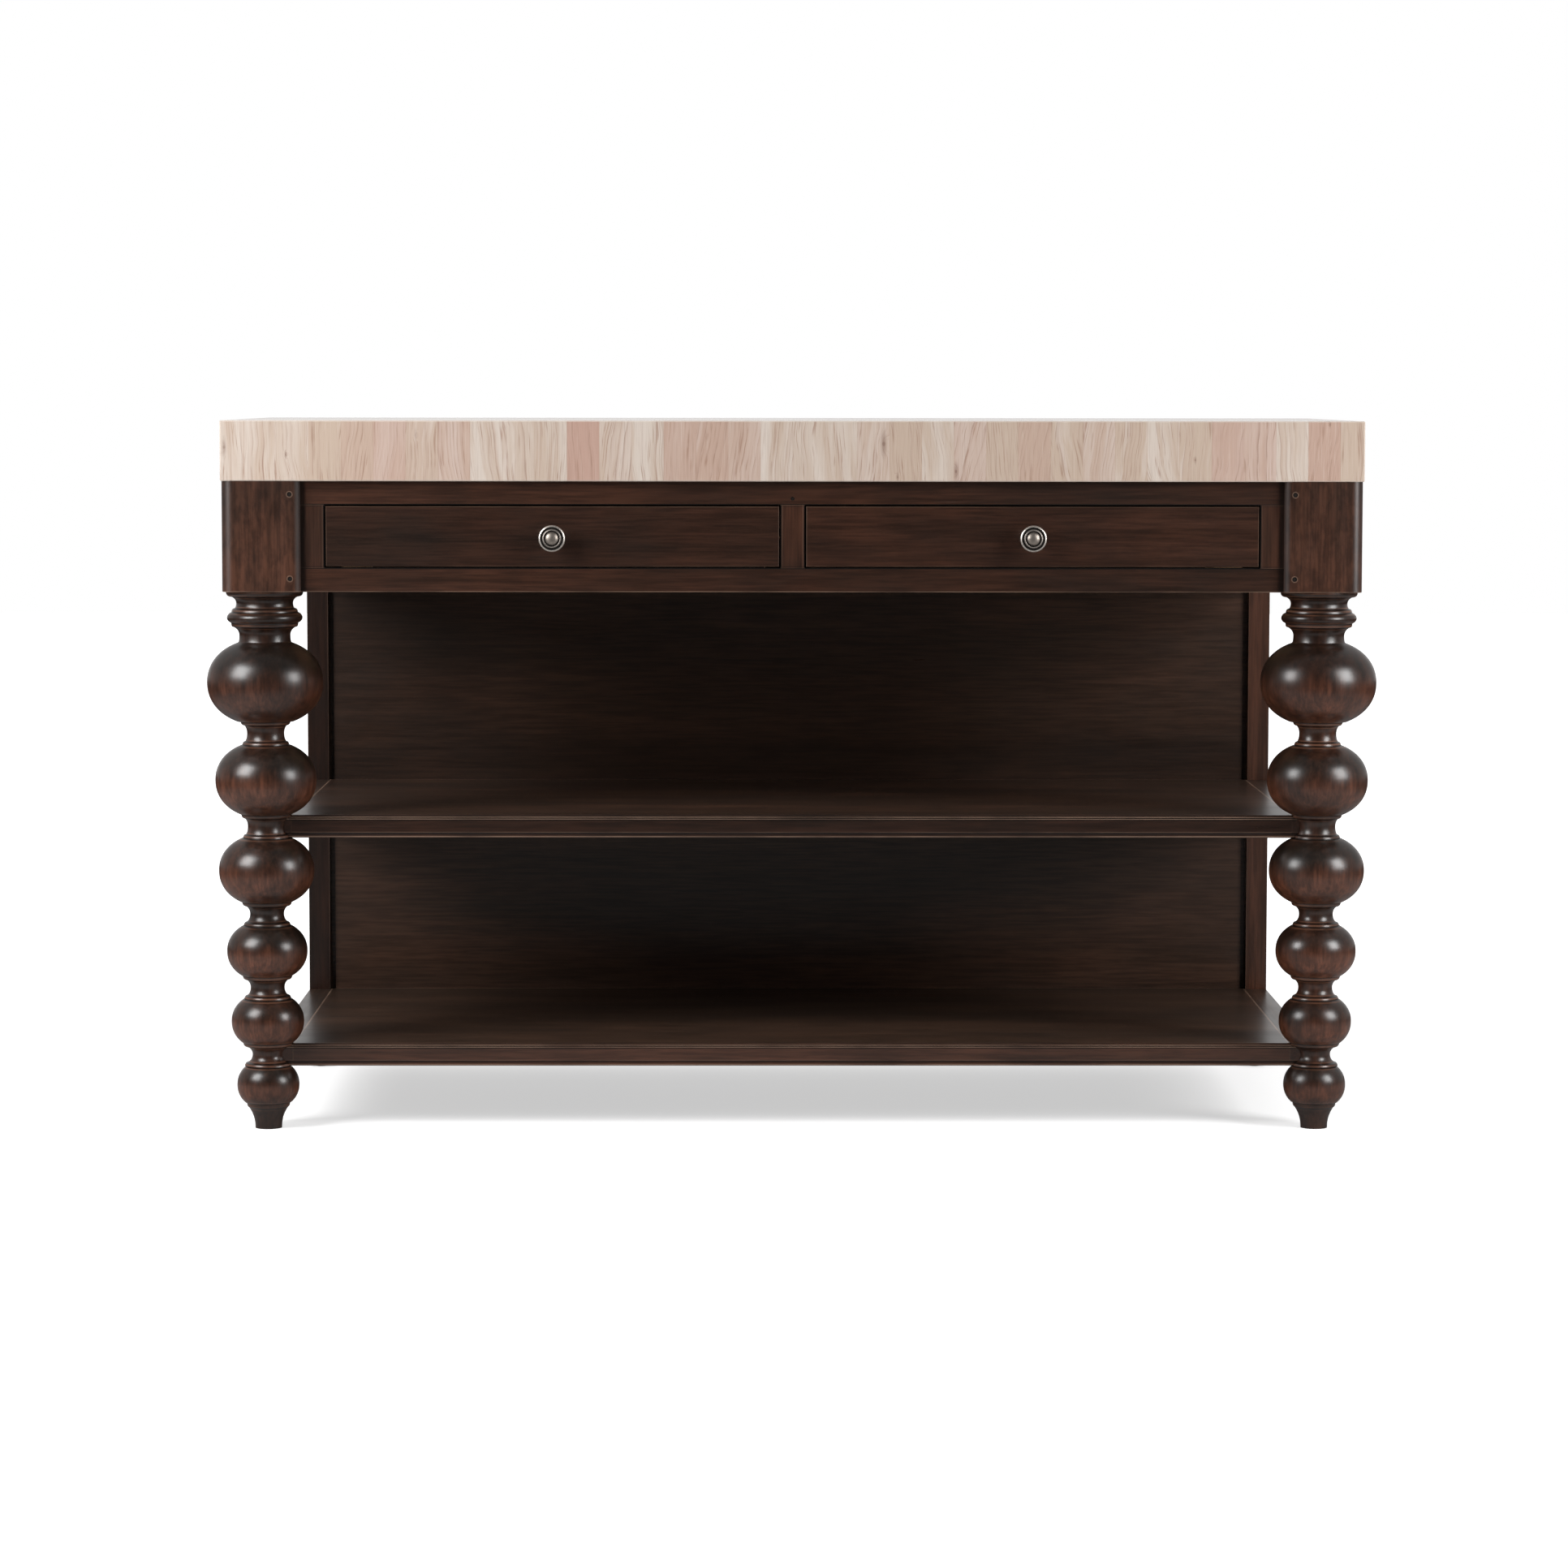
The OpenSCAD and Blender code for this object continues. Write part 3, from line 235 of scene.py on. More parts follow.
def edge_mask(g, here, corners, width):
    """1 on the edges of a box and 0 at more than width from them."""
    near = [g.least(g.absolute(g.minus(v, a)), g.absolute(g.minus(v, b)))
            for v, a, b in zip(g.split(here), *corners)]
    middle = g.minus(g.minus(g.plus(*near), g.least(*near)), g.most(*near))
    return g.band(middle, 0.0, width, 1.0, 0.0)


def stretch(axis, along, across):
    return tuple(along if i == axis else across for i in range(3))


def figure(g, p, axis, along, across, detail, rough):
    """Noise drawn out along the grain, by its scale along the axis and its scale across."""
    return g.noise(g.scaled(p, stretch(axis, along, across)), 1.0, detail, rough)


# Dark lacquered wood

BLACKISH = (0.0125, 0.0080, 0.0058)
ESPRESSO = (0.0335, 0.0140, 0.0082)
RUSSET = (0.080, 0.030, 0.0165)
# Pale: stain rubbed thin, and painted highlights along edges and arrises
WORN_AND_GLINT = (0.24, 0.155, 0.11)
# Pale red at the ring edges of the legs: rubbed wear and painted highlight
RUBBED_AND_GLINT = (0.19, 0.085, 0.05)
# Nearly black: dirt and thick stain in pores and joints, and painted shade in the gaps
GRIME_AND_SHADE = (0.0045, 0.0032, 0.0026)
BLOCK_WARMTH = (1.24, 1.12, 1.04)
WANDER = 0.010
EDGE_WEAR_GLINT_W = 1.4 * MM
PEG_RING_R, PEG_RING_DEPTH = 4.7, 2.0
BLOCK_FADE_Z = (720, 840)
FIRST_BULB_Z = (515, 545)
# Tones on the leg: painted shade on the first bulb and on the rims of the block
FIRST_BULB_SHADE, BLOCK_TONE, RIM_SHADE = 0.72, 1.25, 0.6
OUTER_ROUND_ROUGH, INNER_ROUND_ROUGH, RECESS_ROUGH = 0.40, 0.65, 0.95
LACQUER_BUMP_MM = 0.05


def line_mask(g, here, lines):
    """Thin straight lines, each with an axis, a place, a half width, a strength, a lowest Z."""
    at = g.split(here)
    drawn = []
    for axis, place, half, strength, floor_z in lines:
        line = g.band(g.absolute(g.minus(at[axis], place)), half * 0.4, half, strength, 0.0)
        drawn.append(g.times(line, g.math("GREATER_THAN", at[Z], floor_z)))
    return g.most(*drawn)


def recess_shade_mask(g, here, front, low_z, high_z):
    """Painted shade on faces that lie behind the front of a frame, between two levels."""
    _, y, z = g.split(here)
    sunk = g.band(g.minus(y, front), 0.3 * MM, 1.5 * MM, 0.0, 0.93)
    inside = g.times(g.band(z, low_z - 0.4 * MM, low_z - 0.1 * MM),
                     g.band(z, high_z + 0.1 * MM, high_z + 0.4 * MM, 1.0, 0.0))
    return g.times(sunk, inside)


def peg_ring(g, here, at):
    """A pale ring, rubbed round one peg hole."""
    inner, outer, depth = PEG_R * MM, PEG_RING_R * MM, PEG_RING_DEPTH * MM
    middle = (inner + outer) / 2
    across = g.distance(here, at, (1, 0, 1))
    ring = g.times(g.band(across, inner, middle), g.band(across, middle, outer, 0.75, 0.0))
    behind = g.absolute(g.split(g.vmath("SUBTRACT", here, at))[Y])
    return g.times(ring, g.band(behind, depth, 2 * depth, 1.0, 0.0))


class LegMasks:
    """Where a point is on a turned leg: how far down its bulb, on the block or at its rims."""

    def __init__(self, g, here):
        x, _, self.z = g.split(here)
        out = g.absolute(x)
        self.fall = g.attribute("low")
        self.on_block = g.band(self.z, (BLOCK_FOOT - 3) * MM, (BLOCK_FOOT + 1) * MM)

        # Both count mm inwards from a side face of the block, over which its round changes
        def outer(far, near):
            return g.band(out, (BLOCK_OUTER - far) * MM, (BLOCK_OUTER - near) * MM)

        def inner(near, far):
            return g.band(out, (BLOCK_INNER + near) * MM, (BLOCK_INNER + far) * MM, 1.0, 0.0)

        self.outer_gloss = g.times(outer(17.5, 9.5), self.on_block)
        self.inner_gloss = g.times(inner(4.0, 8.0), self.on_block)
        self.rims = g.times(g.most(outer(13.5, 3.5), inner(1.0, 8.0)), self.on_block)


def leg_level(g, leg, level):
    """Level of a leg's stain, with painted shade and light on each bulb: dark at its top and its
    underside. On the block the level is even, and darker towards its top.
    """
    high = g.band(leg.z, BLOCK_FADE_Z[0] * MM, BLOCK_FADE_Z[1] * MM, 0.075, -0.035)
    calm = g.plus(g.times(level, 0.9), g.plus(high, 0.04))
    # Painted shade and light by height on each bulb: darker at its top and underside, redder below
    # its middle
    level = g.plus(level, g.band(leg.fall, 0.22, 0.62, -0.17, 0.11))
    level = g.minus(level, g.band(leg.fall, 0.66, 0.96, 0.0, 0.13))
    return g.scalar_mix(leg.on_block, level, calm)


def leg_grain(g, leg, p, grain, tone):
    """Small mottling of a leg, with painted light and shade: the lower part of each bulb is
    lighter, and the first bulb, under the block, is darker than the lower ones, as are the rims of
    the block.
    """
    dirt = g.noise(g.scaled(p, (95.0, 95.0, 42.0)), 1.0, 4.0, 0.65)
    grain = g.times(grain, g.band(dirt, 0.36, 0.62, 0.72, 1.22))
    # Painted light on the lower part of each bulb
    grain = g.times(grain, g.band(leg.fall, 0.60, 0.90, 1.0, 1.5))
    # Painted shade: the first bulb and the turning over it, under the block, are darker
    turned = g.band(leg.z, FIRST_BULB_Z[0] * MM, FIRST_BULB_Z[1] * MM, tone,
                    FIRST_BULB_SHADE * tone)
    grain = g.times(grain, g.scalar_mix(leg.on_block, turned, BLOCK_TONE * tone))
    # Painted shade on the rounded rims of the block
    return g.times(grain, g.scalar_mix(leg.rims, 1.0, RIM_SHADE))


def dark_wood(name, axis, shift, tone, red, mottle, box=None, edge=0.0, pale_lines=(),
              dark_lines=(), recess=None, tint_above=None, turned=False, pegs=(), ior=1.5,
              contrast=1.0):
    """Espresso stain over a straight grain along one axis, under a satin lacquer.

    The edges of box are rubbed pale, with a painted highlight, as much as edge says. recess holds
    what recess_shade_mask takes, for painted shade in the gaps, tint_above a level and the tint
    over it, and pegs the places of peg holes.
    """
    mat, g = new_material(name)
    here = g.here()
    p = g.vmath("ADD", here, shift)
    wander = g.noise_node(g.scaled(p, stretch(axis, 2.0, 9.0)), 1.0, 2.0, 0.5)
    wander = g.add("ShaderNodeVectorMath", {0: wander.outputs["Color"], "Scale": WANDER},
                   operation="SCALE")
    p = g.vmath("ADD", p, wander.outputs["Vector"])
    streak = figure(g, p, axis, 2.6, 78.0, 5.0, 0.62)
    fibre = figure(g, p, axis, 15.0, 330.0, 3.0, 0.6)
    board = figure(g, p, axis, 1.3, 11.0, 3.0, 0.55)
    cloud = figure(g, p, axis, 7.0, 15.0, 3.0, 0.6)
    pores = figure(g, p, axis, 30.0, 800.0, 2.0, 0.5)
    leg = LegMasks(g, here) if turned else None
    level = g.plus(g.times(streak, 0.30), g.plus(g.times(board, 0.48 - 0.3 * mottle),
                                                 g.times(cloud, 0.22 + 0.3 * mottle)))
    if turned:
        level = leg_level(g, leg, level)
    if contrast != 1.0:
        level = g.plus(g.times(level, contrast), 0.5 * (1 - contrast))
    middle = 0.5 - 0.14 * (red - 0.5)
    colour = g.ramp(level, [(middle - 0.20, BLACKISH), (middle, ESPRESSO),
                            (middle + 0.22, RUSSET)])
    grain = g.band(fibre, 0.34, 0.66, 0.76, 1.24)
    grain = leg_grain(g, leg, p, grain, tone) if turned else g.times(grain, tone)
    colour = g.tinted(colour, g.join(grain, grain, grain))

    # What lies on the stain, or is rubbed off it, and painted shade, sheen and highlights
    if tint_above is not None:
        above, tint = tint_above
        is_above = g.math("GREATER_THAN", g.split(here)[Z], above)
        colour = g.mix(is_above, colour, g.tinted(colour, tint))
    if turned:
        colour = g.mix(leg.on_block, g.tinted(colour, BLOCK_WARMTH), colour)
    pore = g.band(pores, 0.27, 0.40, 1.0, 0.0)
    colour = g.mix(g.times(pore, 0.25), colour, GRIME_AND_SHADE)
    patchy = g.band(cloud, 0.36, 0.60, 0.35, 1.0)
    # Edges rubbed pale, with a painted highlight along the arrises
    if box is not None:
        rub_and_glint = g.times(edge_mask(g, here, box, EDGE_WEAR_GLINT_W), patchy)
        colour = g.mix(g.times(rub_and_glint, edge), colour, WORN_AND_GLINT)
    # Dark lines: thick stain in hollows and joints, and painted shade along the openings, beside
    # the leg blocks and on the panel
    if dark_lines:
        colour = g.mix(line_mask(g, here, dark_lines), colour, GRIME_AND_SHADE)
    # Painted shade in the gaps round the drawers, which are also made rough
    sunk = None if recess is None else recess_shade_mask(g, here, *recess)
    if sunk is not None:
        colour = g.mix(sunk, colour, GRIME_AND_SHADE)
    # Pale lines: stain rubbed thin, and painted highlights along edges and seams
    if pale_lines:
        colour = g.mix(g.times(line_mask(g, here, pale_lines), patchy), colour, WORN_AND_GLINT)
    for at in pegs:
        colour = g.mix(g.times(peg_ring(g, here, at), 0.6), colour, WORN_AND_GLINT)
    if turned:
        colour = g.mix(g.times(g.attribute("seam"), 0.9), colour, GRIME_AND_SHADE)
        # Pale lines by the ring edges: rubbed wear and a painted highlight
        wear_glint = g.times(g.attribute("wear_glint"), g.band(cloud, 0.38, 0.60, 0.15, 0.65))
        colour = g.mix(wear_glint, colour, RUBBED_AND_GLINT)

    rough = g.plus(g.times(streak, 0.12), g.band(cloud, 0.3, 0.7, 0.265, 0.235))
    if turned:
        rough = g.scalar_mix(leg.outer_gloss, rough, OUTER_ROUND_ROUGH)
        rough = g.scalar_mix(leg.inner_gloss, rough, INNER_ROUND_ROUGH)
    if sunk is not None:
        rough = g.scalar_mix(sunk, rough, RECESS_ROUGH)
    height = g.minus(g.times(fibre, 0.5), g.times(pore, 0.3))
    height = g.plus(height, g.times(g.noise(here, 60.0, 1.0), 0.3))
    finish_material(g, colour, rough, height, LACQUER_BUMP_MM, IOR=ior)
    return mat


# Block top

STAVE = 41.33 * MM
FIRST_STAVE_X = -702.6 * MM
FIRST_ROW_Y = (SLAB_FRONT - 0.55) * MM - 0.4 * STAVE
UPRIGHT_Z = 882 * MM
GLUE_HALF = 0.011
SLAB_EDGE_W = 2.2 * MM
SLAB_BUMP_MM = 0.03
OIL_IOR, OIL_GLOSS, OIL_GLOSS_ROUGH = 1.47, 0.68, 0.06
PALE = (0.555, 0.478, 0.418)
PALER = (0.60, 0.53, 0.475)
PALEST = (0.66, 0.60, 0.545)
SAND = (0.468, 0.364, 0.290)
PINK = (0.43, 0.268, 0.215)
SUMMER_WOOD = (0.40, 0.262, 0.205)
LINE = (0.20, 0.105, 0.07)
HAIR = (0.28, 0.155, 0.105)
KNOT = (0.13, 0.056, 0.034)
GLUE = (0.33, 0.20, 0.14)
END_PORES = (0.40, 0.27, 0.19)
RUBBED_LIT_EDGE = (0.70, 0.63, 0.56)
PAINTED_TOP_SHEEN = (0.81, 0.79, 0.77)
# Staves of the front row that are pinker than the rest: number from the left, and how much
PINK_STAVES = ((10, 0.85), (13, 0.5), (6, 0.4), (4, 0.55), (24, 0.35), (30, 0.6), (31, 0.5),
               (33, 0.6), (15, 0.3), (3, 0.25))
# Knots by the pixel where each shows: its place, its size in mm and how dark it is
KNOTS = ((1089, 547, 4.2, 0.8), (276, 551, 3.2, 0.7), (1178, 581, 3.0, 0.8),
         (352, 560, 1.4, 0.9), (512, 536, 2.0, 0.35), (1106, 588, 1.6, 0.8),
         (1473, 567, 1.3, 0.7), (1639, 523, 1.3, 0.7))


def slab_point(px, py, face_y):
    """The point of the slab's front face that shows at a pixel of the photograph."""
    cam = bpy.context.scene.camera.matrix_world
    ray = cam.to_3x3() @ Vector(((px - PHOTO_PX / 2) / FOCAL_PX,
                                 -(py - PHOTO_PX / 2) / FOCAL_PX, -1))
    hit = cam.translation + ray * ((face_y - cam.translation.y) / ray.y)
    return hit.x, face_y, hit.z


def knots(g, here, face_y, radius):
    """The mask of the knots, and the ring radius with the rings bent round them."""
    spots = []
    for px, py, size, dark in KNOTS:
        at = slab_point(px, py, face_y)
        away = g.distance(here, at, (1.0, 0.35, 0.62))
        halo = g.distance(here, at, (1.3, 0.35, 0.28))
        core = g.times(g.band(away, size * 0.3 * MM, size * 0.8 * MM, 1.0, 0.0), dark)
        spots.append(g.most(core, g.band(halo, 0.0, size * 1.7 * MM, 0.75 * dark, 0.0)))
        radius = g.plus(radius, g.band(away, 0.0, size * 3.2 * MM, 0.22, 0.0))
    return g.most(*spots), radius


def pink_mask(g, column, row, chance):
    """The pink staves of the front row, and some of the other blocks by chance."""
    staves = []
    for number, amount in PINK_STAVES:
        is_it = g.add("ShaderNodeMath", {0: column, 1: float(number), 2: 0.25},
                      operation="COMPARE")
        staves.append(g.times(is_it.outputs[0], amount))
    front_row = g.math("LESS_THAN", row, 0.5)
    return g.most(g.times(g.most(*staves), front_row),
                  g.times(g.band(chance, 0.72, 0.98), 0.5))


class Blocks:
    """Which block of the slab a point lies in, where in it, and random numbers of that block."""

    def __init__(self, g, here):
        x, y, z = g.split(here)
        u = g.math("DIVIDE", g.minus(x, FIRST_STAVE_X), STAVE)
        v = g.math("DIVIDE", g.minus(y, FIRST_ROW_Y), STAVE)
        self.w = g.math("DIVIDE", g.minus(z, UPRIGHT_Z), STAVE)
        self.column, self.row = g.math("FLOOR", u), g.math("FLOOR", v)
        self.u = g.minus(g.math("FRACT", u), 0.5)
        self.v = g.minus(g.math("FRACT", v), 0.5)
        block = g.join(self.column, self.row, 0.0)
        first = g.random(g.vmath("ADD", block, (7.3, 2.1, 0.6)))
        second = g.random(g.vmath("ADD", block, (31.7, 12.9, 5.2)))
        self.a = g.split(first.outputs["Color"])
        self.b = g.split(second.outputs["Color"])


def ring_radius(g, at):
    """Across a block, and the distance from the heart of its tree, both in staves.

    The heart runs by each block at its own distance and lean.
    """
    sway = g.noise(g.join(g.times(at.column, 3.7), g.times(at.row, 5.1), g.times(at.w, 0.55)),
                   1.0, 1.0)
    sway = g.times(g.minus(sway, 0.5), 0.45)
    lean_u = g.times(g.minus(at.b[0], 0.5), 0.30)
    lean_v = g.times(g.math("POWER", at.b[1], 4.0), 0.25)
    far_u = g.times(g.minus(at.a[0], 0.5), 4.4)
    far_u = g.plus(far_u, g.times(g.math("SIGN", far_u), 0.7))
    far_v = g.plus(g.times(at.a[1], 0.8), 0.2)
    across = g.plus(g.minus(at.u, g.times(lean_u, at.w)), sway)
    du = g.minus(across, far_u)
    dv = g.minus(g.minus(at.v, far_v), g.times(lean_v, at.w))
    radius = g.math("SQRT", g.plus(g.times(du, du), g.times(dv, dv)))
    stray = g.noise(g.join(g.plus(g.times(across, 2.6), g.times(at.column, 9.3)),
                           g.plus(g.times(at.v, 2.6), g.times(at.row, 5.1)),
                           g.times(at.w, 0.35)), 1.0, 2.0)
    return across, g.plus(radius, g.times(stray, 0.15))


def year_rings(g, at, radius, broken):
    """The dark line that ends each ring and the soft body under it. Each ring has its strength."""
    rings = g.times(radius, g.plus(5.0, g.times(at.b[2], 6.0)))
    phase = g.math("FRACT", rings)
    strength = g.random(g.join(g.math("FLOOR", rings), at.column, at.row)).outputs["Value"]
    line = g.times(g.math("POWER", phase, 10.0), g.math("POWER", strength, 1.8))
    line = g.times(line, g.band(broken, 0.36, 0.58, 0.25, 1.0))
    return line, g.times(g.math("POWER", phase, 1.8), g.math("POWER", strength, 1.5))


def hair_lines(g, at, radius, broken):
    """Hair lines run along the rings, in clusters, and break off up the block."""
    hairs = g.noise(g.join(g.times(radius, 24.0), g.times(at.column, 3.1), g.times(at.w, 0.5)),
                    1.0, 1.0)
    cluster = g.noise(g.join(g.times(radius, 3.2), g.times(at.column, 7.7), g.times(at.w, 0.8)),
                      1.0, 2.0)
    hair = g.times(g.band(hairs, 0.57, 0.66), g.band(cluster, 0.42, 0.60, 0.12, 1.0))
    return g.times(hair, g.band(broken, 0.34, 0.52, 0.2, 1.0))


def block_tint(g, at, across):
    """The ground colour of a block, with soft clouds along it."""
    hazy = g.noise(g.join(g.plus(g.times(across, 2.0), g.times(at.column, 4.9)),
                          g.plus(g.times(at.v, 2.0), at.row),
                          g.times(at.w, 0.16)), 1.0, 4.0, 0.6)
    pale = g.mix(g.band(at.a[2], 0.15, 0.95), PALE, SAND)
    pale = g.mix(g.band(hazy, 0.44, 0.64, 0.0, 0.85), pale, SAND)
    pale = g.mix(g.band(hazy, 0.32, 0.44, 0.6, 0.0), pale, PALER)
    return g.mix(pink_mask(g, at.column, at.row, at.b[0]), pale, PINK)


def glue_mask(g, at, upward):
    """Glue lines. Only the top shows those along its length."""
    to_u = g.minus(0.5, g.absolute(at.u))
    to_v = g.plus(g.minus(0.5, g.absolute(at.v)), g.minus(1.0, upward))
    return g.band(g.least(to_u, to_v), 0.0, GLUE_HALF, 1.0, 0.0)


def block_wood():
    """Blocks that stand on end: long grain on the sides of the slab, rings on its top."""
    mat, g = new_material("block_wood")
    here = g.here()
    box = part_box("butcher_block_top")
    at = Blocks(g, here)
    across, radius = ring_radius(g, at)
    knot_mask, radius = knots(g, here, box[LOW].y, radius)
    broken = g.noise(g.scaled(here, (260.0, 260.0, 34.0)), 1.0, 2.0)
    line, body = year_rings(g, at, radius, broken)
    hair = hair_lines(g, at, radius, broken)
    fine = g.noise(g.scaled(here, (760.0, 760.0, 17.0)), 1.0, 3.0, 0.6)
    colour = block_tint(g, at, across)
    colour = g.mix(g.times(body, 0.42), colour, SUMMER_WOOD)
    colour = g.mix(g.times(hair, 0.62), colour, HAIR)
    colour = g.mix(g.times(line, 0.82), colour, LINE)
    colour = g.mix(g.band(fine, 0.53, 0.74, 0.0, 0.26), colour, LINE)
    colour = g.mix(g.band(fine, 0.27, 0.44, 0.22, 0.0), colour, PALEST)
    colour = g.mix(g.times(knot_mask, 0.85), colour, KNOT)
    upward = g.band(g.split(g.add("ShaderNodeNewGeometry").outputs["Normal"])[Z], 0.5, 0.9)
    glue = glue_mask(g, at, upward)
    colour = g.mix(g.times(glue, 0.35), colour, GLUE)

    # End grain on top is a little darker and pored, the edges are rubbed pale with a painted
    # highlight, and the top gets a painted sheen
    ends = g.noise(g.scaled(here, (900.0, 900.0, 40.0)), 1.0, 2.0, 0.6)
    colour = g.mix(g.times(upward, g.band(ends, 0.50, 0.72, 0.06, 0.34)), colour, END_PORES)
    colour = g.mix(g.times(edge_mask(g, here, box, SLAB_EDGE_W), 0.55), colour, RUBBED_LIT_EDGE)
    colour = g.mix(g.times(upward, 0.12), colour, PAINTED_TOP_SHEEN)
    height = g.minus(g.times(fine, 0.4), g.times(glue, 0.4))
    rough = g.plus(g.times(fine, 0.12), g.band(upward, 0.0, 1.0, 0.42, 0.60))

    # The oiled top shines only along a grazing look
    grazing = g.add("ShaderNodeLayerWeight", {"Blend": 0.5}).outputs["Facing"]
    gloss = g.times(upward, OIL_GLOSS, g.band(grazing, 0.95, 0.985))
    finish_material(g, colour, rough, height, SLAB_BUMP_MM, IOR=OIL_IOR, Coat_Weight=gloss,
                    Coat_Roughness=OIL_GLOSS_ROUGH)
    return mat


# Other materials

MAPLE, MAPLE_DARK = (0.46, 0.30, 0.175), (0.30, 0.17, 0.09)
DULL_MAPLE, DULL_MAPLE_DARK = (0.36, 0.24, 0.15), (0.24, 0.145, 0.085)
PEWTER_BRIGHT, PEWTER_DULL = (0.88, 0.82, 0.76), (0.74, 0.68, 0.62)
PEWTER_INNER = (0.52, 0.465, 0.42)
PEWTER_DOME = (0.37, 0.325, 0.285)
PEWTER_GRIME = (0.006, 0.0046, 0.0038)
ZINC_DULL, ZINC_BRIGHT = (0.42, 0.42, 0.41), (0.62, 0.62, 0.60)
# Where the face of a knob changes, in mm from its axis: the two hollows, each from where it
# starts to where it is deep and out again, the end of the dome and of the inner ring
KNOB_HOLLOWS = ((8.4, 9.0, 10.1, 10.7), (12.1, 12.6, 14.6, 15.2))
KNOB_DOME, KNOB_INNER = (8.0, 8.6), (12.4, 13.0)
# Behind its head a knob is dark all round, from this far in front of its foot
KNOB_BACK = (-21, -17)


def pale_wood(name, axis, shift, base=MAPLE, dark=MAPLE_DARK):
    """Plain sealed timber of the drawer boxes and runners."""
    mat, g = new_material(name)
    p = g.vmath("ADD", g.here(), shift)
    streak = figure(g, p, axis, 3.0, 90.0, 5.0, 0.6)
    board = figure(g, p, axis, 1.1, 12.0, 3.0, 0.55)
    pores = figure(g, p, axis, 40.0, 1100.0, 2.0, 0.5)
    level = g.plus(g.times(streak, 0.5), g.times(board, 0.5))
    colour = g.ramp(level, [(0.36, dark), (0.5, base), (0.66, tuple(1.22 * c for c in base))])
    pore = g.band(pores, 0.30, 0.44, 1.0, 0.0)
    colour = g.mix(g.times(pore, 0.35), colour, tuple(0.5 * c for c in dark))
    rough = g.plus(0.48, g.times(streak, 0.14))
    height = g.minus(g.times(streak, 0.4), g.times(pore, 0.6))
    finish_material(g, colour, rough, height, bump_mm=0.06)
    return mat


def peg_ends():
    """Sunk ends of the pegs, nearly black with old finish."""
    mat, g = new_material("peg_ends")
    pitted = g.noise(g.here(), 700.0, 3.0, 0.6)
    colour = g.ramp(pitted, [(0.35, GRIME_AND_SHADE), (0.7, BLACKISH)])
    rough = g.band(pitted, 0.3, 0.7, 0.55, 0.8)
    finish_material(g, colour, rough, pitted, bump_mm=0.05, IOR=1.3)
    return mat


def pewter(name, centre):
    """Antique pewter of a knob: bright on the raised rings, dark in the hollows between them."""
    mat, g = new_material(name)
    here = g.here()
    across = g.distance(here, centre, (1, 0, 1))
    ahead = g.split(g.vmath("SUBTRACT", here, centre))[Y]
    stain = g.noise(here, 420.0, 4.0, 0.65)
    hollows = [g.times(g.band(across, a * MM, b * MM), g.band(across, c * MM, d * MM, 1.0, 0.0))
               for a, b, c, d in KNOB_HOLLOWS]
    hollow = g.most(*hollows, g.band(ahead, KNOB_BACK[0] * MM, KNOB_BACK[1] * MM))
    grime = g.most(g.times(hollow, 0.95), g.band(stain, 0.55, 0.85, 0.0, 0.5))
    dome = g.band(across, KNOB_DOME[0] * MM, KNOB_DOME[1] * MM, 1.0, 0.0)
    inner = g.band(across, KNOB_INNER[0] * MM, KNOB_INNER[1] * MM, 1.0, 0.0)
    metal = g.mix(g.band(stain, 0.3, 0.6), PEWTER_BRIGHT, PEWTER_DULL)
    metal = g.mix(inner, metal, PEWTER_INNER)
    metal = g.mix(dome, metal, PEWTER_DOME)
    colour = g.mix(grime, metal, PEWTER_GRIME)
    rough = g.plus(g.times(grime, 0.1), g.scalar_mix(dome, 0.42, 0.46))
    finish_material(g, colour, rough, stain, bump_mm=0.03, Metallic=1.0)
    return mat


def zinc(name):
    """Plated steel of the screws and glides."""
    mat, g = new_material(name)
    spangle = g.noise(g.here(), 900.0, 3.0, 0.6)
    colour = g.ramp(spangle, [(0.35, ZINC_DULL), (0.65, ZINC_BRIGHT)])
    rough = g.plus(0.3, g.times(spangle, 0.15))
    finish_material(g, colour, rough, spangle, bump_mm=0.01, Metallic=1.0)
    return mat


# Turned legs

# Sizes of the turning in mm, the same as in the CAD, with more steps on each curve
FULLNESS = 2.15
TOP_END_R, LOW_END_R = 31.0, 33.0
FIRST_END_MORE, LAST_END_LESS = 4.0, 2.6
FOOT_H, NECK_H, HEAD_H = 34.0, 30.6, 67.0
# Each bulb from the lowest up: its radius, its height and the radius of the neck over it
BULBS = ((40.3, 47.6, 20.2), (47.0, 57.2, 22.0), (52.1, 65.7, 22.0), (61.7, 83.8, 24.0),
         (65.4, 90.5, 24.0))
FIRST_BULB_R = 75.0
RING_UPPER_H, RING_UPPER_R, UPPER_EDGE_R = 5.0, 32.2, 28.6
RING_LOWER_H, RING_LOWER_R, LOWER_EDGE_R = 4.4, 30.2, 27.4
CAP_H, CAP_R, CAP_ROUND = 7.2, 49.8, 4.8
OVER_H, OVER_EDGE_R, COVE_OVER_R = 15.6, 44.0, 36.6
STEP_H, STEP_R, STEP_ROOT_R = 4.8, 42.8, 39.4
BEAD_H, BEAD_R, BEAD_ROOT_R = 14.2, 48.8, 40.2
FILLET_H, FILLET_R, COVE_UNDER_R = 4.6, 43.2, 33.0
COLLAR_H, COLLAR_R, COLLAR_GAP = 5.4, 28.0, 1.0
FOOT_R, FOOT_TOP_R, FOOT_CURVE = 17.4, 25.0, 2.3
BULB_STEPS, HOLLOW_STEPS, RING_STEPS, CAP_STEPS, FOOT_STEPS = 56, 14, 7, 9, 18
BIG_ROUND_STEPS, SMALL_ROUND_STEPS = 14, 8
HOLLOW_START = 20.0
AROUND, HOLE_SIDES = 128, 32
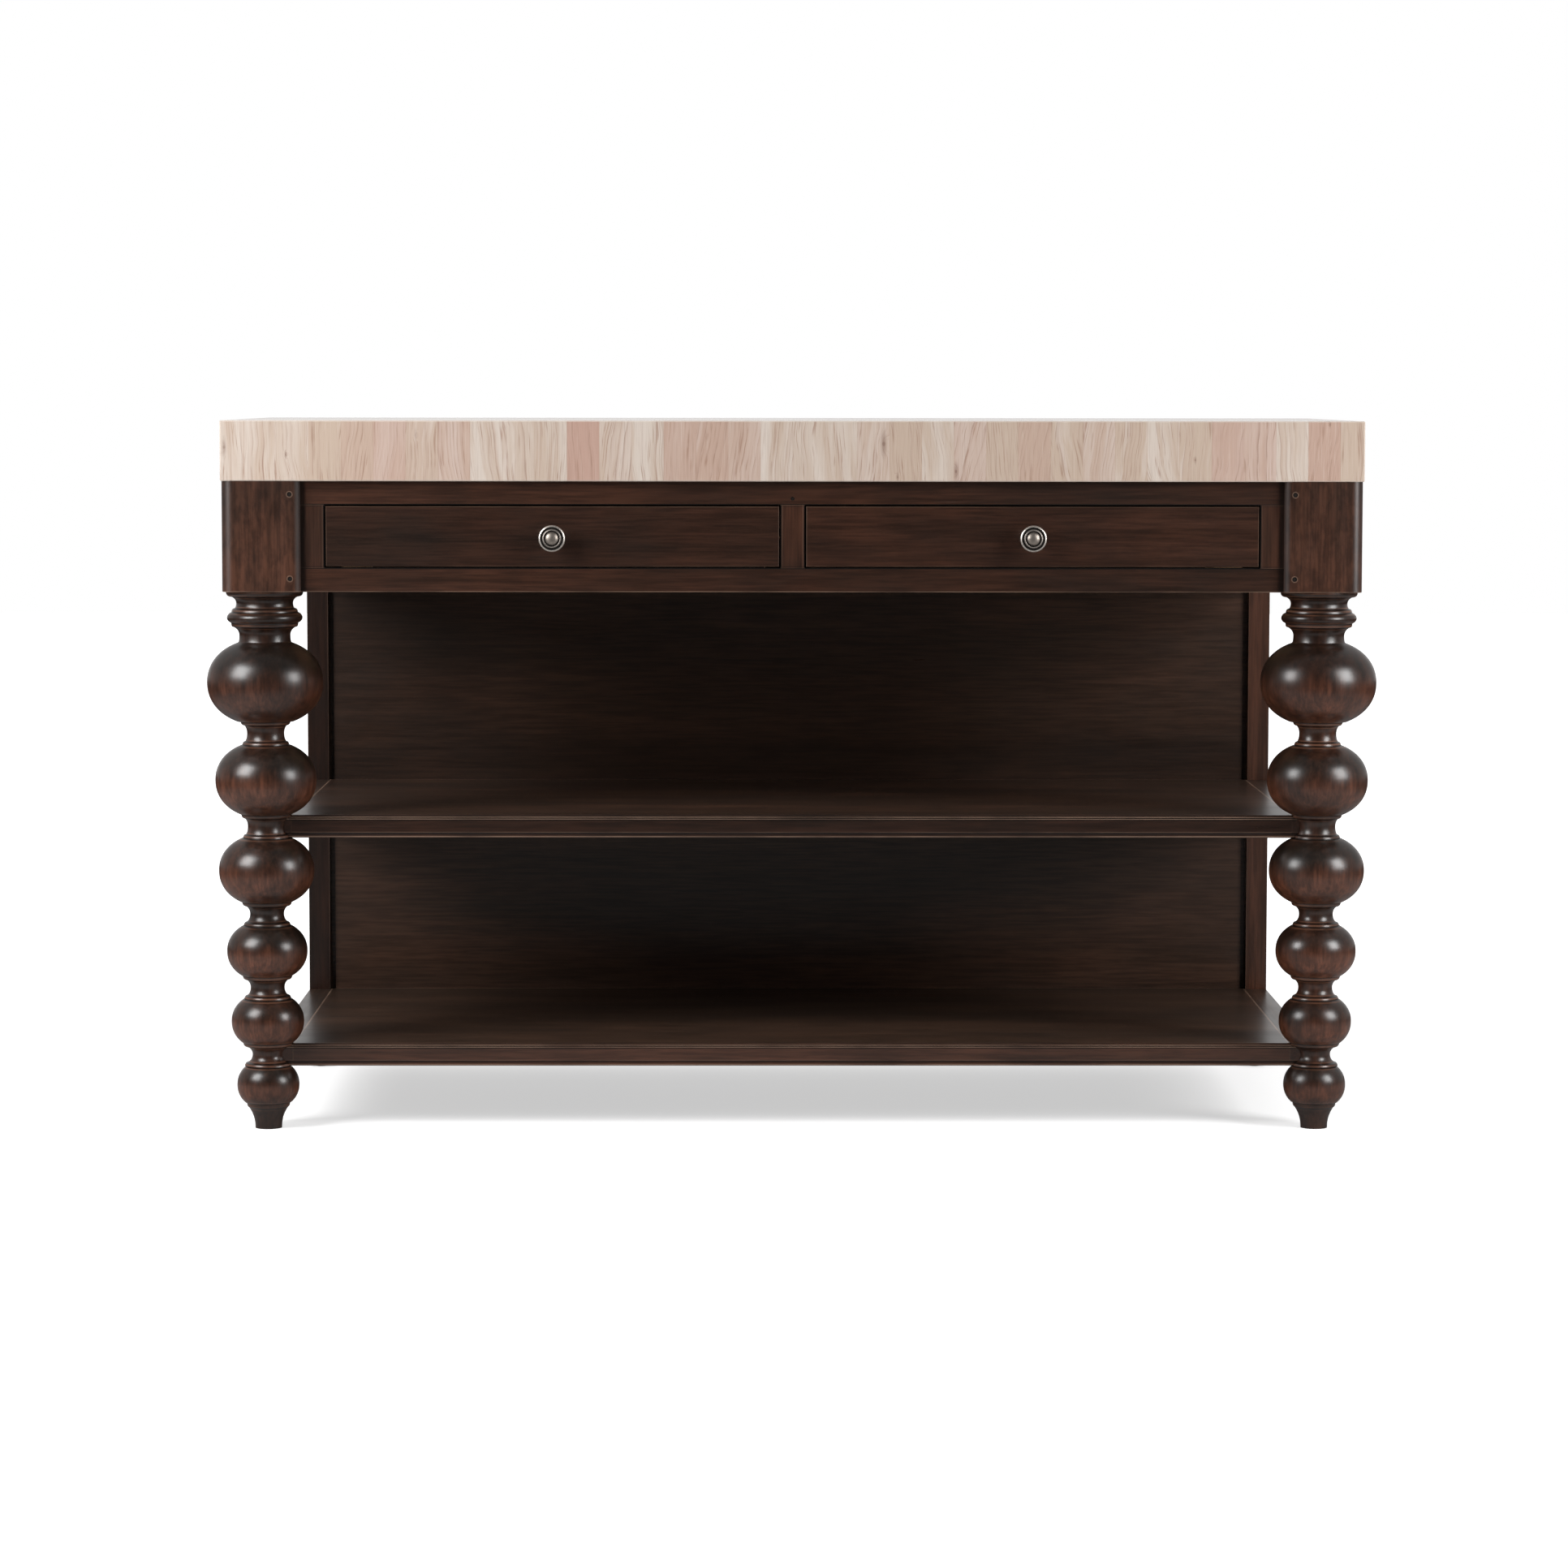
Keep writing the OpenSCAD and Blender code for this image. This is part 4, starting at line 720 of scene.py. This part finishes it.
# Widths in mm of the dark seam lines, and the place and width of the pale lines near them, rubbed
# and painted highlight
SEAM_W, WEAR_GLINT_AT, WEAR_GLINT_W = 1.2, 1.8, 1.0
PLAIN_FALL = 0.35
SHARP_ANGLE = 32


def arc(cr, cz, ar, az, a0, a1, steps):
    return [(cr + ar * math.cos(math.radians(a0 + (a1 - a0) * i / steps)),
             cz + az * math.sin(math.radians(a0 + (a1 - a0) * i / steps)))
            for i in range(steps + 1)]


def hollow_half(r0, z0, r1, z1):
    """Half of a rounded hollow, from its edge at r0, z0 to its deepest point at r1, z1."""
    s0, c0 = math.sin(math.radians(HOLLOW_START)), math.cos(math.radians(HOLLOW_START))
    out = []
    for i in range(HOLLOW_STEPS + 1):
        a = math.radians(HOLLOW_START + (90 - HOLLOW_START) * i / HOLLOW_STEPS)
        out.append((r1 + (r0 - r1) * (1 - math.sin(a)) / (1 - s0),
                    z1 + (z0 - z1) * math.cos(a) / c0))
    return out


def hollow(upper_r, upper_z, r, z, lower_r, lower_z):
    return hollow_half(upper_r, upper_z, r, z) + hollow_half(lower_r, lower_z, r, z)[-2::-1]


def bulb_part(r, end):
    """How far up its full curve a bulb of radius r reaches where its radius is end."""
    return (1 - (end / r) ** FULLNESS) ** (1 / FULLNESS)


def bulb(z, h, r, top_end, low_end):
    """A bulb from its top to its underside, cut off at its two end radii."""
    n = FULLNESS
    up, down = bulb_part(r, top_end), bulb_part(r, low_end)
    reach = h / (up + down)
    mid = z + reach * down
    a0, a1 = math.acos((top_end / r) ** (n / 2)), -math.acos((low_end / r) ** (n / 2))
    out = []
    for i in range(BULB_STEPS + 1):
        a = a0 + (a1 - a0) * i / BULB_STEPS
        out.append((r * math.cos(a) ** (2 / n),
                    mid + math.copysign(reach * abs(math.sin(a)) ** (2 / n), a)))
    return out


def ring_down(z, h, r, root):
    return arc(root, z + h, r - root, h, 0, -82, RING_STEPS)


def ring_out(z, h, r, root):
    return arc(root, z, r - root, h, 82, 0, RING_STEPS)


def neck(z, r):
    """A neck between two bulbs: a ring, a hollow and a second ring."""
    upper, lower = z + NECK_H - RING_UPPER_H, z + RING_LOWER_H
    return (ring_down(upper, RING_UPPER_H, RING_UPPER_R, UPPER_EDGE_R)
            + hollow(UPPER_EDGE_R - 0.4, upper, r, (upper + lower) / 2, LOWER_EDGE_R - 0.4, lower)
            + ring_out(z, RING_LOWER_H, RING_LOWER_R, LOWER_EDGE_R))


def head_profile():
    """The turning between the block and the first bulb, and the levels of its seams."""
    head_z = BLOCK_FOOT - HEAD_H
    over_top = BLOCK_FOOT - CAP_H
    over_z = over_top - OVER_H
    step_z = over_z - STEP_H
    bead_z = step_z - BEAD_H
    fillet_z = bead_z - FILLET_H
    pts = ([(0, BLOCK_FOOT + 1), (CAP_R, BLOCK_FOOT + 1)]
           + arc(CAP_R - CAP_ROUND, BLOCK_FOOT - 1.4, CAP_ROUND, CAP_H - 1.4, 0, -84, CAP_STEPS)
           + hollow(OVER_EDGE_R, over_top, COVE_OVER_R, over_z + OVER_H * 0.44,
                    STEP_ROOT_R - 0.4, over_z)
           + ring_out(step_z, STEP_H, STEP_R, STEP_ROOT_R)
           + arc(BEAD_ROOT_R, bead_z + BEAD_H / 2, BEAD_R - BEAD_ROOT_R, BEAD_H / 2, 64, -66,
                 2 * RING_STEPS)
           + ring_down(fillet_z, FILLET_H - 0.4, FILLET_R, FILLET_R - 1.6)
           + hollow(FILLET_R - 2, fillet_z, COVE_UNDER_R, (fillet_z + head_z) / 2 - 0.6,
                    34.0, head_z + 1))
    return pts, [BLOCK_FOOT, over_top, over_z, step_z, bead_z, fillet_z]


def foot_profile(collar_z):
    taper = []
    for i in range(FOOT_STEPS + 1):
        up = 1 - i / FOOT_STEPS
        taper.append((FOOT_R + (FOOT_TOP_R - FOOT_R) * up ** FOOT_CURVE, (collar_z - 1) * up))
    return ring_down(collar_z, COLLAR_H, COLLAR_R, COLLAR_R - 2.4) + taper + [(0, 0)]


def leg_profile():
    """Points [radius, height] in mm of the turned part, with its seam levels and bulb spans."""
    head_z = BLOCK_FOOT - HEAD_H
    pts, seams = head_profile()
    parts, spans = [], []
    z = FOOT_H
    for i, (r, h, neck_r) in enumerate(BULBS):
        less = LAST_END_LESS if i == 0 else 0.0
        neck_z = z + h
        parts += [bulb(z, h, r, TOP_END_R - less, LOW_END_R - less), neck(neck_z, neck_r)]
        spans += [(z, neck_z)]
        seams += [z, neck_z, neck_z + RING_LOWER_H, neck_z + NECK_H - RING_UPPER_H]
        z += h + NECK_H
    parts += [bulb(z, head_z - z, FIRST_BULB_R, TOP_END_R + FIRST_END_MORE,
                   LOW_END_R + FIRST_END_MORE)]
    collar_z = FOOT_H - COLLAR_GAP - COLLAR_H
    spans += [(z, head_z)]
    seams += [z, collar_z]
    for part in reversed(parts):
        pts += part
    return pts + foot_profile(collar_z), seams, spans


def block_outline(half, big, small):
    """Plan of the leg block, counter-clockwise, with its large round at +X, -Y."""
    out = []
    for cx, cy, r, start in ((1, -1, big, -90), (1, 1, small, 0), (-1, 1, small, 90),
                             (-1, -1, small, 180)):
        steps = BIG_ROUND_STEPS if r == big else SMALL_ROUND_STEPS
        out += arc(cx * (half - r), cy * (half - r), r, r, start, start + 90, steps)
    return out


def peg_places(side):
    """Where the pegs meet the front of a leg block."""
    low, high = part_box("front_leg_left")
    front = (low.y + high.y) / 2 - BLOCK_HALF * MM
    return [Vector((side * PEG_X * MM, front, z * MM)) for z in PEG_LEVELS]


def block_mesh(side, place):
    """The square block of a leg, with its lower edge eased."""
    bm = bmesh.new()
    walls = [[bm.verts.new((x * side, y, z))
              for x, y in block_outline(BLOCK_HALF - inset, BLOCK_ROUND - inset,
                                        BLOCK_EASE - inset)]
             for z, inset in ((BLOCK_FOOT, BLOCK_EDGE), (BLOCK_FOOT + BLOCK_EDGE, 0.0),
                              (BLOCK_TOP, 0.0))]
    for a, b in zip(walls, walls[1:]):
        for k in range(len(a)):
            m = (k + 1) % len(a)
            bm.faces.new((a[k], a[m], b[m], b[k]))
    bm.faces.new(walls[0])
    bm.faces.new(walls[-1])
    bmesh.ops.recalc_face_normals(bm, faces=bm.faces)
    mesh = bpy.data.meshes.new("block")
    bm.to_mesh(mesh)
    bm.free()
    mesh.transform(place)
    return mesh


def turn_profile(bm):
    """Turns the profile of a leg, with its seams, the pale lines at its ring edges, rubbed and
    painted highlight, and the fall of each bulb.
    """
    pts, seams, spans = leg_profile()
    wear_glint = bm.verts.layers.float.new("wear_glint")
    seam = bm.verts.layers.float.new("seam")
    fall = bm.verts.layers.float.new("low")
    loops = []
    for r, z in pts:
        if r == 0:
            loops.append([bm.verts.new((0, 0, z))])
            continue
        near = min(abs(z - level) for level in seams)
        drop = next(((b - z) / (b - a) for a, b in spans if a <= z <= b), PLAIN_FALL)
        loops.append([bm.verts.new((r * math.cos(2 * math.pi * k / AROUND),
                                    r * math.sin(2 * math.pi * k / AROUND), z))
                      for k in range(AROUND)])
        for v in loops[-1]:
            v[seam] = max(0.0, 1 - near / SEAM_W)
            v[wear_glint] = max(0.0, 1 - abs(near - WEAR_GLINT_AT) / WEAR_GLINT_W)
            v[fall] = drop
    for a, b in zip(loops, loops[1:]):
        for k in range(AROUND):
            m = (k + 1) % AROUND
            if len(a) == 1:
                bm.faces.new((a[0], b[k], b[m]))
            elif len(b) == 1:
                bm.faces.new((a[k], b[0], a[m]))
            else:
                bm.faces.new((a[k], b[k], b[m], a[m]))


def turned_leg(side, name, material):
    """One front leg: a fine turning and its square block, with the holes for the pegs."""
    node = "front_leg_" + name
    low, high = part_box(node)
    centre = Vector(((low.x + high.x) / 2, (low.y + high.y) / 2, 0))
    place = Matrix.Translation(centre) @ Matrix.Scale(MM, 4)
    bm = bmesh.new()
    turn_profile(bm)
    bm.transform(place)
    block = drilled(block_mesh(side, place), peg_places(side))
    bm.from_mesh(block)
    bpy.data.meshes.remove(block)
    bmesh.ops.recalc_face_normals(bm, faces=bm.faces)
    mesh = bpy.data.meshes.new("leg_" + name + "_turning")
    bm.to_mesh(mesh)
    bm.free()
    mesh.shade_smooth()
    mesh.set_sharp_from_angle(angle=math.radians(SHARP_ANGLE))
    mesh.materials.append(material)
    leg = link(bpy.data.objects.new("leg_" + name + "_turning", mesh))
    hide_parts(node)
    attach(leg, "island")


def drilled(solid, places):
    """A copy of a mesh with short round peg holes along Y at the given points of its front."""
    bm = bmesh.new()
    for at in places:
        bmesh.ops.create_cone(bm, cap_ends=True, segments=HOLE_SIDES,
                              radius1=PEG_HOLE_R * MM, radius2=PEG_HOLE_R * MM,
                              depth=2 * PEG_HOLE_DEPTH * MM,
                              matrix=Matrix.Translation(at) @ Matrix.Rotation(math.pi / 2, 4, "X"))
    mesh = bpy.data.meshes.new("drill")
    bm.to_mesh(mesh)
    bm.free()
    tool = link(bpy.data.objects.new("drill", mesh))
    obj = link(bpy.data.objects.new("drilled", solid))
    mod = obj.modifiers.new("holes", "BOOLEAN")
    mod.operation = "DIFFERENCE"
    mod.solver = "EXACT"
    mod.object = tool
    bpy.context.view_layer.update()
    cut = bpy.data.meshes.new_from_object(obj.evaluated_get(
        bpy.context.evaluated_depsgraph_get()))
    for item in (tool, obj):
        bpy.data.objects.remove(item)
    for spent in (mesh, solid):
        bpy.data.meshes.remove(spent)
    return cut


# Floor and light

FLOOR_GREY = (0.74, 0.74, 0.74, 1)
FLOOR_SEEN = (0.80, 0.80, 0.80, 1)
FLOOR_HALF = 14
# How far from the object, in metres, the floor starts and ends to glow and to fade in reflections
GLOW_FROM, GLOW_TO = 0.7, 2.4
FADE_FROM, FADE_TO = 0.9, 2.6


def make_stage():
    """A pale floor that keeps the shadow and runs out to white."""
    bm = bmesh.new()
    bmesh.ops.create_grid(bm, x_segments=8, y_segments=8, size=FLOOR_HALF)
    mesh = bpy.data.meshes.new("floor")
    bm.to_mesh(mesh)
    bm.free()
    floor = link(bpy.data.objects.new("floor", mesh))
    mat, g = new_material("floor")
    away = g.vmath("LENGTH", g.scaled(g.here(), (0.75, 1.0, 1.0)))
    plain = g.add("ShaderNodeBsdfDiffuse", {"Color": FLOOR_GREY})
    seen = g.add("ShaderNodeBsdfDiffuse", {"Color": FLOOR_SEEN})
    glow = g.add("ShaderNodeEmission", {"Color": WHITE,
                                        "Strength": g.band(away, GLOW_FROM, GLOW_TO, 0.56, 1.1)})
    both = g.add("ShaderNodeAddShader", {0: seen.outputs[0], 1: glow.outputs[0]})
    dim = g.band(away, FADE_FROM, FADE_TO, 0.42, 0.06)
    dim = g.add("ShaderNodeBsdfDiffuse", {"Color": g.join(dim, dim, dim)})
    ray = g.add("ShaderNodeLightPath").outputs
    mix = g.shader_mix(ray["Is Glossy Ray"], plain, dim)
    mix = g.shader_mix(ray["Is Camera Ray"], mix, both)
    g.add("ShaderNodeOutputMaterial", {"Surface": mix.outputs[0]})
    floor.data.materials.append(mat)


LAMP_AIM = Vector((0, -0.2, 0.6))
# Each lamp: its place, its width and height in metres, and its power
LAMPS = {"box_left": ((-2.02, -1.45, 1.63), (1.05, 1.25), 59),
         "box_right": ((2.45, -1.67, 1.46), (1.05, 1.35), 65)}
ROOM_DARK, ROOM_LIGHT = 0.02, 0.46


def soft_box(name, at, size, watts):
    data = bpy.data.lights.new(name, "AREA")
    data.shape = "RECTANGLE"
    data.size, data.size_y = size
    data.energy = watts
    lamp = link(bpy.data.objects.new(name, data))
    lamp.location = at
    lamp.rotation_euler = (LAMP_AIM - Vector(at)).to_track_quat("-Z", "Y").to_euler()


def make_light():
    """Two soft boxes, and a room that is dark in front of the object and light behind it."""
    for name, (at, size, watts) in LAMPS.items():
        soft_box(name, at, size, watts)
    world = bpy.data.worlds.new("studio")
    bpy.context.scene.world = world
    world.use_nodes = True
    g = Graph(world.node_tree)
    _, y, z = g.split(g.add("ShaderNodeTexCoord").outputs["Generated"])
    ray = g.add("ShaderNodeLightPath").outputs
    wide = g.scalar_mix(ray["Is Glossy Ray"], g.band(y, -0.75, 0.15, ROOM_DARK, ROOM_LIGHT),
                        g.band(y, -0.40, 0.50, ROOM_DARK, ROOM_LIGHT))
    overhead = g.band(z, 0.3, 1.0, 0.0, 0.10)
    horizon = g.times(g.band(y, 0.75, 0.97), g.band(g.absolute(z), 0.05, 0.35, 0.55, 0.0))
    level = g.plus(wide, overhead, horizon)
    room = g.add("ShaderNodeBackground", {"Color": WHITE, "Strength": level})
    white = g.add("ShaderNodeBackground", {"Color": WHITE, "Strength": 1.0})
    mix = g.shader_mix(ray["Is Camera Ray"], room, white)
    g.add("ShaderNodeOutputWorld", {"Surface": mix.outputs[0]})


# Materials on the pieces

# Each dark piece: the axis of its grain, its tone, how red it is and how mottled
DARK = {
    "back_post_left": (Z, 0.43, 0.7, 0.4), "back_post_right": (Z, 1.35, 0.75, 0.4),
    "side_apron_left": (Y, 0.9, 0.5, 0.3), "side_apron_right": (Y, 0.9, 0.5, 0.3),
    "back_rail": (X, 0.8, 0.4, 0.3), "back_panel": (X, 1.15, 0.5, 0.2),
    "front_rail_upper": (X, 0.95, 0.6, 0.2), "front_rail_lower": (X, 0.86, 0.6, 0.2),
    "end_stile_left": (Z, 1.15, 0.7, 0.3), "end_stile_right": (Z, 1.15, 0.7, 0.3),
    "centre_mullion": (Z, 0.92, 0.7, 0.3),
    "mid_shelf": (X, 0.76, 0.5, 0.2), "low_shelf": (X, 1.2, 0.6, 0.2),
    "mid_shelf_end_left": (Y, 0.76, 0.5, 0.2), "mid_shelf_end_right": (Y, 0.76, 0.5, 0.2),
    "low_shelf_end_left": (Y, 1.1, 0.6, 0.2), "low_shelf_end_right": (Y, 1.1, 0.6, 0.2),
    "drawer_left_front": (X, 0.88, 0.5, 0.25), "drawer_right_front": (X, 0.82, 0.5, 0.25),
}
LEG_TONE, LEG_RED, LEG_MOTTLE, LEG_IOR = 0.87, 0.7, 0.9, 1.55
CONTRAST = {"back_panel": 0.55, "low_shelf": 0.75}
PANEL_TINT = (1.1, 1.35, 1.45)
# Painted shade on the panel, just over the middle shelf and at its left end: a place in m, and
# half widths in mm
BAY_SHADE_HALF, PANEL_SHADE_X, PANEL_SHADE_HALF = 90, -0.60, 240
# Painted sheen on the tops of the shelves: a greyer tint of their top skin
LOW_SHELF_SHEEN, MID_SHELF_SHEEN = (1.15, 1.6, 1.85), (1.8, 2.4, 2.8)
SHELF_TOP_SKIN = 0.4 * MM
# How pale the rubbed edges are, with their painted highlight
EDGE_WEAR_GLINT, DRAWER_EDGE_WEAR_GLINT = 0.25, 0.4
DRAWER_BEVEL = 0.8 * MM
# Lines along the moulded front of a shelf, first those placed by mm down from its top and then
# those placed by mm up from its underside, each with its half width in mm and its strength
NOSE_PALE = (((2.5, 0.8, 0.8), (5.1, 0.9, 0.8)), ((1.6, 1.1, 0.6), (7.3, 0.7, 0.3)))
NOSE_DARK = (((1.2, 0.9, 0.6), (3.8, 0.8, 0.8), (6.5, 0.8, 0.6)), ((4.9, 1.6, 0.6),))


def mark(axis, place, half_mm, strength, above=0.0):
    """One line for line_mask, drawn only over the level above."""
    return axis, place, half_mm * MM, strength, above


def both_sides(place_mm, half_mm, strength, above=0.0):
    return [mark(X, side * place_mm * MM, half_mm, strength, above) for side in (-1, 1)]


def nose_lines(table, under, top):
    from_top, from_under = table
    return ([mark(Z, top - down * MM, half, strength) for down, half, strength in from_top]
            + [mark(Z, under + up * MM, half, strength) for up, half, strength in from_under])


def shelf_lines(node, under, top):
    """Lines of a shelf: along its moulded front, at the seams of its ends and by the panel."""
    pale, dark = nose_lines(NOSE_PALE, under, top), nose_lines(NOSE_DARK, under, top)
    skin = top - SHELF_TOP_SKIN
    if "end" in node:
        dark += both_sides(SHELF_SEAM, 1.2, 0.9, skin)
    else:
        # Painted highlight along the seams with the end boards
        pale += both_sides(SHELF_SEAM, 3.0, 1.5, skin)
        pale += [mark(Y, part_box("back_panel")[LOW].y - 1.5 * MM, 2.5, 0.5, skin)]
    return pale, dark


def joint_lines(node):
    """Pale and dark lines for one piece: where the stain is rubbed thin or lies thick, painted
    highlights along edges, and painted shade along the drawer openings, beside the leg blocks and
    on the panel.
    """
    low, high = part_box(node)
    low_z, high_z = OPENING_LOW * MM, OPENING_HIGH * MM
    pale, dark = [], []
    if "shelf" in node:
        pale, dark = shelf_lines(node, low.z, high.z)
    elif "stile" in node or "mullion" in node:
        edge, inward = (OPENING_END, 2.2) if "stile" in node else (MULLION_EDGE, -2.2)
        pale = [mark(Z, low_z, 1.0, 0.25), mark(Z, high_z, 1.0, 0.25)]
        pale += both_sides(edge + inward, 0.8, 0.2)
        dark = [mark(Z, low_z + 1.6 * MM, 1.0, 0.5), mark(Z, high_z - 1.6 * MM, 1.0, 0.5)]
        # Painted shade along the edge of the opening
        dark += both_sides(edge, 1.5, 1.0)
    elif node == "front_rail_lower":
        # Painted highlight along the lower edge
        pale = [mark(Z, low.z + 0.6 * MM, 0.9, 0.35)]
        # Painted shade along the opening
        dark = [mark(Z, low_z, 1.7, 1.0)]
    elif node == "front_rail_upper":
        # Painted shade along the opening
        dark = [mark(Z, high_z, 1.5, 1.0)]
    if "stile" in node or "rail" in node:
        # Painted shadow of the leg block on the frame beside it
        dark += both_sides(BLOCK_INNER, 9.0, 0.7)
    if node == "back_panel":
        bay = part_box("mid_shelf")[HIGH].z
        # Painted shade on the panel over the middle shelf and at its left end
        dark += [mark(Z, bay, BAY_SHADE_HALF, 0.55, bay),
                 mark(X, PANEL_SHADE_X, PANEL_SHADE_HALF, 0.4, bay)]
    return pale, dark


def dress(node, material):
    mesh = NODES[node].data
    mesh.materials.clear()
    mesh.materials.append(material)


def dress_dark():
    """Stains the dark pieces, each cut from its own place in the grain by its shift."""
    for number, (node, (axis, tone, red, mottle)) in enumerate(DARK.items()):
        low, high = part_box(node)
        shift = (0.61 * number, 0.37 * number + 1.3, 0.83 * number)
        pale, dark = joint_lines(node)
        recess, tint_above, edge = None, None, EDGE_WEAR_GLINT
        # Painted shade in the gaps: on the inner faces of the frame round the openings, and on a
        # drawer front behind its bevel
        if node.startswith("front_rail") or "stile" in node or "mullion" in node:
            recess = (low.y, OPENING_LOW * MM, OPENING_HIGH * MM)
        elif node.endswith("front"):
            recess, edge = (low.y + DRAWER_BEVEL, 0.0, 1.0), DRAWER_EDGE_WEAR_GLINT
        # The panel gets a greyer tint all over, and the top skin of a shelf a greyer tint that is
        # a painted sheen
        if node == "back_panel":
            tint_above = (0.0, PANEL_TINT)
        elif "shelf" in node:
            tint = LOW_SHELF_SHEEN if node.startswith("low") else MID_SHELF_SHEEN
            tint_above = (high.z - SHELF_TOP_SKIN, tint)
        dress(node, dark_wood("stain_" + node, axis, shift, tone, red, mottle, (low, high), edge,
                              pale_lines=pale, dark_lines=dark, recess=recess, tint_above=tint_above,
                              contrast=CONTRAST.get(node, 1.0)))


def dress_rest():
    """The pegs, the top, the drawer boxes, the knobs, the carriage and the steel."""
    dress("frame_pegs", peg_ends())
    dress("butcher_block_top", block_wood())
    sides = pale_wood("drawer_side_wood", Y, (0.3, 1.7, 2.9))
    across = pale_wood("drawer_cross_wood", X, (4.1, 0.2, 1.1))
    plain = pale_wood("carriage_wood", Y, (2.2, 3.4, 0.7), DULL_MAPLE, DULL_MAPLE_DARK)
    for side in ("left", "right"):
        for piece in ("outer_side", "inner_side"):
            dress("drawer_%s_%s" % (side, piece), sides)
        for piece in ("back", "bottom", "stop_tab"):
            dress("drawer_%s_%s" % (side, piece), across)
        low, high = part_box("knob_" + side)
        middle = ((low.x + high.x) / 2, high.y, (low.z + high.z) / 2)
        dress("knob_" + side, pewter("pewter_" + side, middle))
    for node in ("runner_left", "runner_centre", "runner_right", "kicker_left", "kicker_centre",
                 "kicker_right", "closing_stops", "pull_stop_blocks", "shelf_dowels"):
        dress(node, plain)
    steel = zinc("zinc")
    for node in ("top_screws", "panel_screws", "knob_screw_left", "knob_screw_right",
                 "floor_glides"):
        dress(node, steel)


def make_legs():
    """Both turned legs, with a pale line where the block meets the turning: rubbed wear and a
    painted highlight along the block's lower edge.
    """
    for side, name, shift in ((-1, "left", (0.4, 2.2, 5.1)), (1, "right", (7.9, 1.4, 3.3))):
        pale = [mark(Z, (BLOCK_FOOT + 0.6) * MM, 0.8, 0.6)]
        wood = dark_wood("stain_leg_" + name, Z, shift, LEG_TONE, LEG_RED, LEG_MOTTLE,
                         pale_lines=pale, turned=True, pegs=peg_places(side), ior=LEG_IOR)
        turned_leg(side, name, wood)


make_camera()
bpy.context.scene.view_settings.view_transform = "Standard"
make_stage()
make_light()
dress_dark()
dress_rest()
make_legs()
